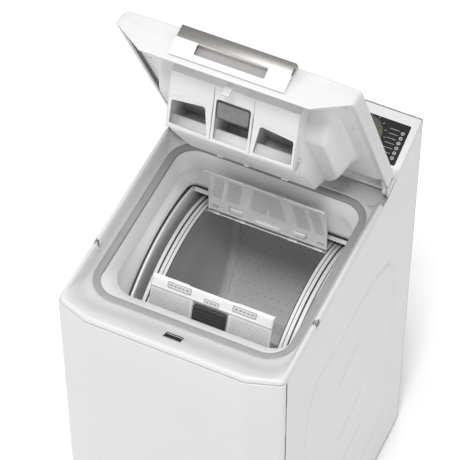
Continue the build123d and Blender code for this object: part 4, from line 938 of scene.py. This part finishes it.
def lid_shell():
    radius = 6 * MM
    upper, lower = lid_outline(0.0), lid_outline(1.0)

    def ring(level, inset):
        """level runs from 0 at the top to 1 at the skirt's lower edge."""
        points = []
        for a, b in zip(offset(upper, inset), offset(lower, inset)):
            bottom = skirt_bottom(a.x, a.y)
            z = LID_TOP + (bottom - LID_TOP) * level
            f = (LID_TOP - z) / (LID_TOP - RIM_Z)
            p = a.lerp(b, f)
            points.append(Vector((p.x, p.y, z)))
        return points

    loops = []
    for k in range(6):
        angle = math.radians(18 * k)
        base = ring(0.0, radius * (1 - math.sin(angle)))
        loops.append([p - Vector((0, 0, radius * (1 - math.cos(angle)))) for p in base])
    for level in (0.35, 0.5, 0.65, 0.8, 0.93, 0.98):
        loops.append(ring(level, 0.0))
    rim = 6.0 * MM
    for level, inset in ((1.0, 0.5 * MM), (1.0, rim - 0.6 * MM), (0.985, rim), (0.93, rim),
                         (0.915, rim - 0.6 * MM), (0.9, LID_WALL), (0.6, LID_WALL)):
        loops.append(ring(level, inset))
    n = len(loops[0])
    verts = [p for loop in loops for p in loop]
    faces = strips(n, len(loops))
    faces += [(i, n - 1 - i, n - 2 - i, i + 1) for i in range(n // 2 - 1)]
    crown = fix_normals(mesh_object("lid_crown", verts, faces))
    roof = lid_roof()
    cheeks = [lid_cheek(side) for side in (-1, 1)]
    shell = join("lid_skin", [crown, roof] + cheeks)
    piece(shell, "lid", "white_plastic", ["lid_shell"], LID_OPEN)


def lid_roof():
    """Rear of the lid: flat roof that rolls down round the hinge line."""
    x = 193.3 * MM
    r = 22.5 * MM
    profile = [Vector((124 * MM, LID_TOP)), Vector((140 * MM, LID_TOP))]
    for k in range(9):
        angle = math.radians(90 - 90 * k / 8)
        profile.append(Vector((HINGE_Y + r * math.cos(angle), HINGE_Z + r * math.sin(angle))))
    profile[2].y = LID_TOP - 0.5 * MM
    inner = [Vector((p.x - (LID_WALL if i > 2 else 0), p.y - (LID_WALL if i < 9 else 0)))
             for i, p in enumerate(profile)]
    bar = along_x("lid_roof", profile + inner[::-1], -x, x)
    return rounded(bar, 0.6 * MM, 2)


def lid_cheek(side):
    a, b = span(side, 187.5 * MM, 193.5 * MM)
    r = 12 * MM
    ear = []
    for k in range(13):
        angle = math.radians(-150 + 150 * k / 12)
        ear.append((HINGE_Y + r * math.cos(angle), HINGE_Z + r * math.sin(angle)))
    outline = [(124 * MM, 846 * MM), (140 * MM, 846 * MM)] + ear
    outline += [(HINGE_Y + r, LID_TOP - 6 * MM), (HINGE_Y + 2 * MM, LID_TOP - 1.5 * MM),
                (124 * MM, LID_TOP - 1.5 * MM)]
    return along_x(f"lid_cheek_{side}", outline, a, b, 0.8 * MM)


def plug_depth(x, y):
    """How far the liner's plug hangs below the liner plane."""
    half = 158 * MM
    rear, front = 112 * MM, -200 * MM
    corner = 105 * MM
    px, py = abs(x) - (half - corner), y - (rear - corner)
    if px > 0 and py > 0:
        inside = corner - math.hypot(px, py)
    else:
        inside = min(half - abs(x), rear - y)
    rise = smooth((y - front) / (70 * MM))
    lobe = smooth((abs(x) - 112.5 * MM) / (4 * MM)) if y > 70 * MM else 1.0
    return 43 * MM * smooth((inside + 2 * MM) / (20 * MM)) * rise * lobe


def lid_liner():
    x = HALF_W - 3.2 * MM
    y0, y1 = -268 * MM, 122 * MM
    count_x, count_y = 150, 148
    xs = [-x + 2 * x * k / count_x for k in range(count_x + 1)]
    ys = [y0 + (y1 - y0) * k / count_y for k in range(count_y + 1)]

    def place(u, v):
        edge = min(x - abs(u), v - y0 + 4 * MM)
        lift = 9 * MM * (1 - smooth((edge - 1 * MM) / (5 * MM)))
        step = 2.0 * MM * (1 - smooth((edge - 15 * MM) / (3 * MM)))
        front_drop = 5 * MM * smooth((-222 * MM - v) / (26 * MM))
        z = LINER_Z + lift + step - plug_depth(u, v) + front_drop
        return (u, v, z)

    sheet = grid("liner_sheet", xs, ys, place)
    sheet.data.flip_normals()
    thicken(sheet, 1.8 * MM)
    studs = []
    for side in (-1, 1):
        for v in (-238 * MM, -140 * MM):
            stud = plate(f"liner_stud_{side}_{v}", circle(0, 0, 2.6 * MM), [], 1.2 * MM, 0.4 * MM)
            stud.data.transform(Matrix.Translation((side * 176 * MM, v, LINER_Z - 0.3 * MM)))
            studs.append(stud)
    liner = join("liner_skin", [sheet] + studs)
    piece(shade_smooth(liner), "lid", "liner_plastic", ["lid_liner"], LID_OPEN)


DISP_X = 110 * MM
KNEE = Vector((-217 * MM, 821.5 * MM))
TOE = Vector((-134 * MM, 757 * MM))
WALL = 2.2 * MM


def dispenser():
    """Three-chamber dispenser: body, pierced sloped wall, dividers and the rear ramp."""
    back = mm((-126, 757), (-126, 780), (-100, 780), (-100, 761.5), (37, 779), (72, 806))
    back = [Vector(p) for p in [TOE] + back + [(72 * MM, LINER_Z)]]
    path = fillet(back, [0, 2 * MM, 3 * MM, 3 * MM, 4 * MM, 16 * MM, 10 * MM, 0], 6, closed=False)
    pieces = []
    for name, line in (("ramp", path), ("face", [Vector((KNEE.x, LINER_Z)), KNEE])):
        loops = [[Vector((sx * DISP_X, p.x, p.y)) for p in line] for sx in (-1, 1)]
        strip = rings("dispenser_" + name, loops, closed=False)
        pieces.append(thicken(strip, WALL, 0.0))
    side_outline = [Vector((KNEE.x, LINER_Z)), KNEE] + path
    for sx in (-1, 1):
        a, b = span(sx, DISP_X, DISP_X - WALL)
        pieces.append(along_x(f"dispenser_side_{sx}", side_outline, a, b, 0.7 * MM))
        a, b = (sx * 34 - 1.3) * MM, (sx * 34 + 1.3) * MM
        pieces.append(along_x(f"divider_{sx}", side_outline, a, b, 0.4 * MM))
    cross = [(-67.1 * MM, 764 * MM), (-64.9 * MM, 764 * MM),
             (-64.9 * MM, LINER_Z - 1 * MM), (-67.1 * MM, LINER_Z - 1 * MM)]
    pieces.append(along_x("dispenser_cross", cross, -DISP_X + WALL, DISP_X - WALL))
    housing = join("dispenser_skin", pieces + [pierced_wall()])
    piece(housing, "lid", "liner_plastic", ["dispenser_housing"], LID_OPEN)
    back_wall = along_x("dispenser_ceiling", [(KNEE.x + 3 * MM, LINER_Z - 3 * MM), (70 * MM, LINER_Z - 3 * MM),
                                              (70 * MM, LINER_Z - 1 * MM), (KNEE.x + 3 * MM, LINER_Z - 1 * MM)],
                        -DISP_X + 3 * MM, DISP_X - 3 * MM, 0.4 * MM)
    piece(back_wall, "lid", "throat_plastic", moved=LID_OPEN)
    ramp_details()


def wall_place():
    """Plane of the sloped wall: X across, Y along it from the knee, Z outwards."""
    along = (TOE - KNEE).normalized()
    out = Vector((0, along.y, -along.x))
    return Matrix(((1, 0, 0, 0), (0, along.x, out.y, KNEE.x), (0, along.y, out.z, KNEE.y), (0, 0, 0, 1)))


def pierced_wall():
    length = (TOE - KNEE).length
    outline = rect(DISP_X, length / 2, 0.0, 0.0, length / 2)
    holes = [fillet(mm((-29.4, 24), (29.4, 24), (29, 101.5), (-29, 101.5)), [5 * MM, 5 * MM, 3 * MM, 3 * MM])]
    for s in (-1, 1):
        quad = mm((s * 47, 47), (s * 104, 54), (s * 105, 100), (s * 39.5, 101.5))
        holes.append(fillet(quad, [5 * MM, 4 * MM, 3 * MM, 3 * MM]))
    wall = plate("dispenser_wall", outline, holes, WALL, 0.5 * MM)
    wall.data.transform(wall_place())
    return wall


def ramp_details():
    """Small clips on the dispenser's rear ramp, a dark strip painted as the shadow line under the ramp's
    details, and the frames of the windows.
    """
    parts = []
    for x, w in ((-62, 10), (-14, 8), (52, 12)):
        profile = mm((34, 775), (44, 782), (41, 786), (32, 779))
        parts.append(along_x(f"clip_{x}", profile, x * MM, (x + w) * MM, 0.6 * MM))
    for s in (-1, 1):
        for u0, u1, v in ((47, 103, 45), (40, 104, 103.6)):
            a, b = span(s, u0 * MM, u1 * MM)
            bar = rect((b - a) / 2, 1 * MM, 0.0, (a + b) / 2, v * MM)
            rim = plate(f"window_rim_{s}_{v}", bar, [], 1.6 * MM, 0.5 * MM)
            rim.data.transform(wall_place() @ Matrix.Translation((0, 0, 0.9 * MM)))
            parts.append(rim)
    clips = join("dispenser_clips", parts)
    piece(clips, "lid", "liner_plastic", moved=LID_OPEN)
    # dark grey strip of painted shadow: the shadow line under the ramp's details
    slot = plate("dispenser_shadow_line", rect(46 * MM, 2.5 * MM, 2.4 * MM), [], 1.2 * MM, 0.2 * MM)
    lean = math.atan2(9, 97)
    place = Matrix.Translation((30 * MM, 14 * MM, 775.2 * MM)) @ Matrix.Rotation(lean + math.pi, 4, "X")
    vent = plate("dispenser_vent", rect(9 * MM, 16 * MM, 2 * MM), [], 1.2 * MM, 0.2 * MM)
    vent.data.transform(Matrix.Translation((64 * MM, 78 * MM, 0)))
    dark = join("dispenser_dark", [slot, vent])
    piece(dark, "lid", "grey_plastic", moved=LID_OPEN @ place)


def shutter():
    """Smoky flap over the middle window, thicker round its edge."""
    w, start, length = 28.6 * MM, 27 * MM, 33 * MM
    outline = fillet([(-w, start), (w, start), (w, start + length), (-w, start + length)],
                     [4 * MM, 4 * MM, 6 * MM, 6 * MM])
    edge = 2 * MM
    inner = fillet([(-w + edge, start + edge), (w - edge, start + edge), (w - edge, start + length - edge),
                    (-w + edge, start + length - edge)], [3 * MM, 3 * MM, 4.5 * MM, 4.5 * MM])
    pane = plate("shutter_pane", inner, [], 1.0 * MM, 0.2 * MM)
    rim = plate("shutter_rim", outline, [inner], 2.0 * MM, 0.5 * MM)
    pane.data.transform(Matrix.Translation((0, 0, -0.4 * MM)))
    place = LID_OPEN @ wall_place()
    piece(pane, "shutter", "smoky_plastic", ["dispenser_flap"], place)
    piece(rim, "shutter", "button_plastic", moved=place)


def handle():
    """Grip bracket with its finger slot, and the brushed strip above it."""
    half_x, slot_x = 96 * MM, 58.5 * MM
    z0, z1 = 822 * MM, 852 * MM
    outline = rect(half_x, (z1 - z0) / 2, 1.5 * MM, 0.0, (z0 + z1) / 2)
    opening = rect(slot_x, 9.1 * MM, 2 * MM, 0.0, 841.9 * MM)
    face = plate("bracket_face", outline, [opening], 2.4 * MM, 0.6 * MM)
    face.data.transform(Matrix.Translation((0, RIM_Y, 0)) @ UPRIGHT)
    flange = [(RIM_Y + 1.5 * MM, z1), (RIM_Y + 1.5 * MM, z1 - 1.4 * MM),
              (-289 * MM, z1 - 1.4 * MM), (-289 * MM, z1)]
    top = along_x("bracket_top", flange, -half_x, half_x, 0.3 * MM)
    side_outline = [(RIM_Y + 1 * MM, 823 * MM), (RIM_Y + 1 * MM, 851 * MM)] + mm((-289, 851), (-299, 823))
    sides = [along_x(f"bracket_side_{s}", side_outline, *span(s, half_x - 2.4 * MM, half_x), 0.3 * MM)
             for s in (-1, 1)]
    bracket = join("bracket", [face, top] + sides)
    piece(bracket, "lid", "handle_plastic", ["handle_bracket"], LID_OPEN)
    pocket = mm((-301.4, 832.3), (-297.7, 833.2), (-291.2, 850.8), (-290.5, 850.8),
                (-297.0, 832.4), (-301.4, 831.5))
    lining = along_x("finger_pocket", pocket, -slot_x - 2 * MM, slot_x + 2 * MM, 0.2 * MM)
    piece(lining, "lid", "brushed_trim", moved=LID_OPEN, look="pocket")
    strip = mm((-303.6, 852.2), (-300.2, 872.4), (-299.6, 873.2), (-281.5, 873.4), (-281.5, 872.2),
               (-298.6, 871.8), (-302.0, 852.2))
    bar = along_x("handle_strip", strip, -half_x + 1 * MM, half_x - 1 * MM)
    rounded(bar, 0.35 * MM, 2)
    piece(bar, "lid", "brushed_trim", ["handle_trim"], LID_OPEN)


# ---------------------------------------------------------------- drum
def drum_ends():
    """Dished end plates that meet the drum's sheet in a soft rolled corner."""
    face = high("drum_ends")[0] - 4 * MM
    inner = DRUM_R - 1.6 * MM
    profile = mm((13, -0.5), (60, -0.5), (72, 0.8), (100, 1.2), (170, 1.2), (186, 0.2))
    corner = 14 * MM
    for k in range(9):
        angle = math.radians(90 * k / 8)
        rise = 0.2 * MM - corner * (1 - math.cos(angle))
        profile.append((inner - corner + corner * math.sin(angle), rise))
    steps = 96
    plates = []
    for side in (-1, 1):
        loops = []
        for r, rise in profile:
            x = side * (face + rise)
            loops.append([Vector((x, AXIS_Y + r * math.cos(2 * math.pi * k / steps),
                                  AXIS_Z + r * math.sin(2 * math.pi * k / steps))) for k in range(steps)])
        disc = rings(f"drum_disc_{side}", loops)
        plates.append(thicken(disc, 1.2 * MM, 0.0))
    ends = join("drum_discs", plates)
    piece(shade_smooth(ends), "drum", "drum_steel", ["drum_ends"], look="drum_ends")


# ---------------------------------------------------------------- drum flaps, modelled closed
FLAP_X = 110.8 * MM
FLAP_ARC = math.radians(30.9)
FLAP_LENGTH = FLAP_ARC * DRUM_R
FLAP_US = [-FLAP_X + 2 * FLAP_X * k / 148 for k in range(149)]
FLAP_VS = [k / 84 for k in range(85)]
BUTTON_BACK = 48 * MM                   # the latch button, from the front flap's free edge
FLAP_START = 3 * MM                     # where the sheet begins, along it from the hinge


def hinge_angle(joint):
    y, z = JOINTS[joint]["pos_m"][1:]
    return math.atan2(z - AXIS_Z, y - AXIS_Y)


def opened_by(joint, sign):
    y, z = JOINTS[joint]["pos_m"][1:]
    return turn_x(sign * math.radians(JOINTS[joint]["range_deg"][1]), y, z)


def at_drum(x, depth, angle):
    r = DRUM_R - depth
    return (x, AXIS_Y + r * math.cos(angle), AXIS_Z + r * math.sin(angle))


def paint_pierced(obj, mask):
    layer = obj.data.attributes.new("pierced", "FLOAT", "POINT")
    layer.data.foreach_set("value", [mask(x, v) for v in FLAP_VS for x in FLAP_US])


def flap_side(x):
    """Depth of the turned-down edge along a flap's sides."""
    return 3.6 * MM * smooth((abs(x) - FLAP_X + 2.6 * MM) / (2.6 * MM))


def on_flap(x, depth, angle):
    """Plane lying on a shut flap, at an angle round the drum, Z outwards."""
    return Matrix.Translation(at_drum(x, depth, angle)) @ Matrix.Rotation(angle - math.pi / 2, 4, "X")


def band(value, centre, half, soft):
    """1 within half of the centre, 0 past that by soft; all but the value in millimetres."""
    return 1.0 - smooth((abs(value - centre * MM) - half * MM) / (soft * MM))


def rear_flap():
    """Flap at the back: scalloped free edge, wavy ribs, rows of holes and its slots."""
    hinge = hinge_angle("rear_flap_hinge")
    length = FLAP_LENGTH

    def reach(x):
        """Free edge: raised tongue in the middle between two soft shoulders."""
        return length + 11.5 * MM * (1 - smooth((abs(x) - 27 * MM) / (14 * MM)))

    def arc(x, v):
        return FLAP_START + (reach(x) - FLAP_START) * v

    def ribs(x, s):
        value = 0.0
        for centre in (78, 33):
            wave = centre * MM + 5 * MM * math.sin((s / length) * 2 * math.pi)
            ends = smooth((s - 10 * MM) / (8 * MM)) * smooth((length - 22 * MM - s) / (8 * MM))
            value += 1.1 * MM * band(abs(x) - wave, 0, 1.0, 2.2) * ends
        return value + 1.3 * MM * band(s - length, -14, 1.0, 1.6) * band(abs(x), 66, 27, 3)

    def pockets(x, s):
        hole = band(abs(x), 59, 9, 1.6) * band(s, 17, 4, 1.6)
        middle = band(x, 0, 21, 1.6) * band(s, 9, 3.5, 1.4)
        return 2.6 * MM * max(hole, middle)

    def place(x, v):
        s = arc(x, v)
        lip = 3.4 * MM * smooth((s - reach(x) + 4 * MM) / (4 * MM)) * (1 if abs(x) > 38 * MM else 0.2)
        tongue = 5.6 * MM * smooth((s - length + 3 * MM) / (8 * MM)) * band(x, 0, 38, 3)
        depth = lip + flap_side(x) + tongue + ribs(x, s) + pockets(x, s)
        return at_drum(x, depth, hinge + s / DRUM_R)

    sheet = grid("rear_flap_sheet", FLAP_US, FLAP_VS, place)
    sheet.data.flip_normals()
    set_uv(sheet, arc)
    paint_pierced(sheet, lambda x, v: rear_mask(x, arc(x, v), length))
    thicken(sheet, 1.4 * MM)
    body = opened_by("rear_flap_hinge", -1)
    piece(sheet, "rear_flap", "flap_steel", ["rear_flap"], body)
    flap_knuckles("rear_flap_hinge", "rear_flap", "rear_knuckles", body)
    marks = []
    slots = [(-62, 11, 5.5, 19, False), (62, 11, 5.5, 19, False), (0, 18, 4, 9, True), (-98, 6, 2.5, 14, False),
             (98, 6, 2.5, 14, False)]
    for centre, half_x, half_s, s, filled in slots:
        marks.append(flap_mark(centre * MM, half_x * MM, half_s * MM, hinge + s * MM / DRUM_R, filled))
    for centre, half_x in ((-66, 27), (66, 27), (0, 11)):
        s = length - (7.5 * MM if centre else 1 * MM)
        marks.append(flap_mark(centre * MM, half_x * MM, 0.8 * MM, hinge + s / DRUM_R, True))
    piece(join("rear_flap_marks", marks), "rear_flap", "grey_plastic", moved=body)


def flap_mark(x, half_x, half_s, angle, filled):
    """Narrow slot outline, or a filled slot, lying on a flap."""
    outer = rect(half_x, half_s, min(half_s, 2 * MM) * 0.9)
    inner = rect(half_x - 1.2 * MM, half_s - 1.2 * MM, 0.6 * MM) if not filled else None
    mark = plate(f"mark_{x}_{angle:.3f}", outer, [inner] if inner else [], 0.8 * MM, 0.15 * MM)
    mark.data.transform(on_flap(x, 1.25 * MM, angle))
    return mark


def rear_mask(x, s, length):
    rows = smooth((s - 34 * MM) / (3 * MM)) * smooth((length - 22 * MM - s) / (3 * MM))
    bands = 0.0
    for centre, half in ((92, 9), (62, 12), (14, 15)):
        wave = 4 * MM * math.sin((s / length) * 2 * math.pi)
        bands = max(bands, 1.0 if abs(abs(x) - centre * MM - wave) < half * MM else 0.0)
    return rows * bands


def set_uv(obj, arc):
    """Lays the sheet out flat in metres, so that its holes keep their size."""
    layer = obj.data.uv_layers.new(name="sheet")
    for loop in obj.data.loops:
        j, i = divmod(loop.vertex_index, len(FLAP_US))
        layer.data[loop.index].uv = (FLAP_US[i] + 1.0, arc(FLAP_US[i], FLAP_VS[j]) + 1.0)


def flap_knuckles(joint, body_name, name, moved):
    """Rolled hinge barrels that hold the flap on its rod."""
    y, z = JOINTS[joint]["pos_m"][1:]
    parts = []
    for s in (-1, 1):
        for x0, x1 in ((40, 58), (88, 104)):
            a, b = span(s, x0 * MM, x1 * MM)
            parts.append(along_x(f"{name}_{x0}_{s}", circle(y, z, 3.8 * MM, 20), a, b, 0.4 * MM))
    knuckles = join(name, parts)
    piece(knuckles, body_name, "flap_steel", moved=moved, look="machined_steel")


def front_flap():
    """Flap at the front: rolled edge band, latch slots, button well and stippled sheets."""
    hinge = hinge_angle("front_flap_hinge")
    length = FLAP_LENGTH

    def arc(x, v):
        return FLAP_START + (length - FLAP_START) * v

    def place(x, v):
        s = arc(x, v)
        back = length - s
        lip = 4.5 * MM * smooth((4 * MM - back) / (4 * MM)) * (1 - 0.8 * band(x, 0, 42, 3))
        sunk = 1.6 * MM * smooth((back - 20 * MM) / (3 * MM))
        ridge = -1.0 * MM * band(back, 22, 1.2, 2)
        slot = 1.6 * MM * band(abs(x), 59, 19, 1.5) * band(back, 9, 3.2, 1.2)
        well = 7 * MM * band(x, 0, 31.5, 1.2) * band(back, BUTTON_BACK / MM, 21.5, 1.2)
        return at_drum(x, lip + flap_side(x) + sunk + ridge + slot + well, hinge - s / DRUM_R)

    sheet = grid("front_flap_sheet", FLAP_US, FLAP_VS, place)
    set_uv(sheet, arc)
    paint_pierced(sheet, lambda x, v: front_mask(x, length - arc(x, v)))
    thicken(sheet, 1.4 * MM)
    moved = opened_by("front_flap_hinge", 1)
    piece(sheet, "front_flap", "flap_steel", ["front_flap"], moved)
    flap_knuckles("front_flap_hinge", "front_flap", "front_knuckles", moved)
    latch_inserts(hinge, moved)
    latch_button(hinge, moved)


def front_mask(x, back):
    return 1.0 if 27 * MM < back < 112 * MM and 36 * MM < abs(x) < 107 * MM else 0.0


def latch_inserts(hinge, moved):
    """White latch guides in the flap's slots, each on a darker pad that paints the shadow round the guide."""
    guides, shadows = [], []
    for centre, half, back, teeth in ((-59, 20, 10, 4), (59, 20, 10, 4), (0, 12, 17, 2)):
        angle = hinge - (FLAP_LENGTH - back * MM) / DRUM_R
        ring = plate(f"latch_ring_{centre}", rect(half * MM, 4.4 * MM, 2 * MM),
                     [rect((half - 3) * MM, 1.8 * MM, 1 * MM)], 1.4 * MM, 0.4 * MM)
        ring.data.transform(on_flap(centre * MM, -0.8 * MM, angle))
        guides.append(ring)
        for k in range(teeth):
            x = (centre + (k - (teeth - 1) / 2) * 7) * MM
            outline = rect(1.5 * MM, 1.7 * MM, 0.5 * MM)
            tooth = plate(f"latch_tooth_{centre}_{k}", outline, [], 1.0 * MM, 0.2 * MM)
            tooth.data.transform(on_flap(x, -0.8 * MM, angle))
            guides.append(tooth)
        # dark pad of painted shadow, showing as a thin outline round the white ring
        pad = plate(f"latch_shadow_{centre}", rect((half + 1.6) * MM, 6 * MM, 2.5 * MM), [], 0.9 * MM, 0.2 * MM)
        pad.data.transform(on_flap(centre * MM, -0.3 * MM, angle))
        shadows.append(pad)
    piece(join("latch_guides", guides), "front_flap", "flap_steel", moved=moved, look="handle_plastic")
    piece(join("latch_shadows", shadows), "front_flap", "grey_plastic", moved=moved)


def latch_button(hinge, moved):
    """Dark push button with finger ribs."""
    angle = hinge - (FLAP_LENGTH - BUTTON_BACK) / DRUM_R
    body = plate("button_body", rect(30 * MM, 19.6 * MM, 3 * MM), [], 6.5 * MM, 1.4 * MM)
    body.data.transform(Matrix.Translation((0, 0, 2.4 * MM)))
    ribs = []
    for k in range(4):
        rib = plate(f"button_rib_{k}", rect(24 * MM, 0.9 * MM, 0.8 * MM), [], 1.2 * MM, 0.4 * MM)
        rib.data.transform(Matrix.Translation((0, (-9 + 6 * k) * MM, 3.1 * MM)))
        ribs.append(rib)
    button = join("button_pad", [body] + ribs)
    piece(button, "button", "button_plastic", ["flap_button"], moved @ on_flap(0, 0, angle))


# ---------------------------------------------------------------- stage
def camera():
    yaw, pitch, roll = math.radians(25.064), math.radians(51.620), 0.00114
    cam = bpy.data.cameras.new("view")
    cam.sensor_width = 36
    cam.lens = 201.7
    cam.shift_x, cam.shift_y = -0.0097, 0.0136
    cam.clip_start, cam.clip_end = 0.5, 60
    obj = bpy.data.objects.new("view", cam)
    turn = Matrix.Rotation(yaw, 4, "Z") @ Matrix.Rotation(math.pi / 2 - pitch, 4, "X")
    obj.matrix_world = Matrix.Translation((1.1103, -2.4017, 4.1383)) @ turn @ Matrix.Rotation(-roll, 4, "Z")
    bpy.context.scene.collection.objects.link(obj)
    bpy.context.scene.camera = obj


def floor():
    """Plain pale floor that curves up far behind the machine."""
    rows = [(-9, 0), (6, 0), (7, 0.1), (7.8, 0.5), (8.4, 1.3), (8.7, 2.5), (8.8, 6)]
    loops = [[Vector((x, y, z)) for x in (-9, -3, 3, 9)] for y, z in rows]
    sheet = rings("floor", loops, closed=False)
    look = Look("floor_paint", (0.97, 0.97, 0.97), 0.85)
    sheet.data.materials.append(look.mottle(1.5, 0.004).rough(0.3, 0.05).grain(0.02, 0.0002, 0.1).done())


def area_light(name, place, target, size, power):
    light = bpy.data.lights.new(name, "AREA")
    light.shape = "DISK"
    light.size = size
    light.energy = power
    obj = bpy.data.objects.new(name, light)
    obj.location = place
    obj.rotation_euler = (Vector(target) - Vector(place)).to_track_quat("-Z", "Y").to_euler()
    bpy.context.scene.collection.objects.link(obj)


def lighting():
    world = bpy.data.worlds.new("studio")
    world.use_nodes = True
    background = world.node_tree.nodes["Background"]
    background.inputs["Color"].default_value = (1, 1, 1, 1)
    background.inputs["Strength"].default_value = 0.66
    bpy.context.scene.world = world
    area_light("key", (-2.6, -2.2, 3.6), (0, 0, 0.6), 2.2, 42)
    area_light("fill", (2.8, -2.6, 2.6), (0, 0, 0.5), 2.6, 16)
    area_light("front", (0.55, -1.7, 4.6), (0, 0, 0.6), 0.8, 78)
    area_light("top", (0.1, -0.5, 4.4), (0, 0, 0.8), 1.0, 40)
    bpy.context.scene.view_settings.view_transform = "Standard"


def main():
    camera()
    lighting()
    floor()
    dress_cad_nodes()
    side_panel(-1, "left_side_panel")
    side_panel(1, "right_side_panel")
    front_panel()
    kick_plate()
    filter_door()
    rear_panel()
    top_frame()
    seal_and_throat()
    console()
    lid_shell()
    lid_liner()
    dispenser()
    shutter()
    handle()
    drum_ends()
    rear_flap()
    front_flap()


main()
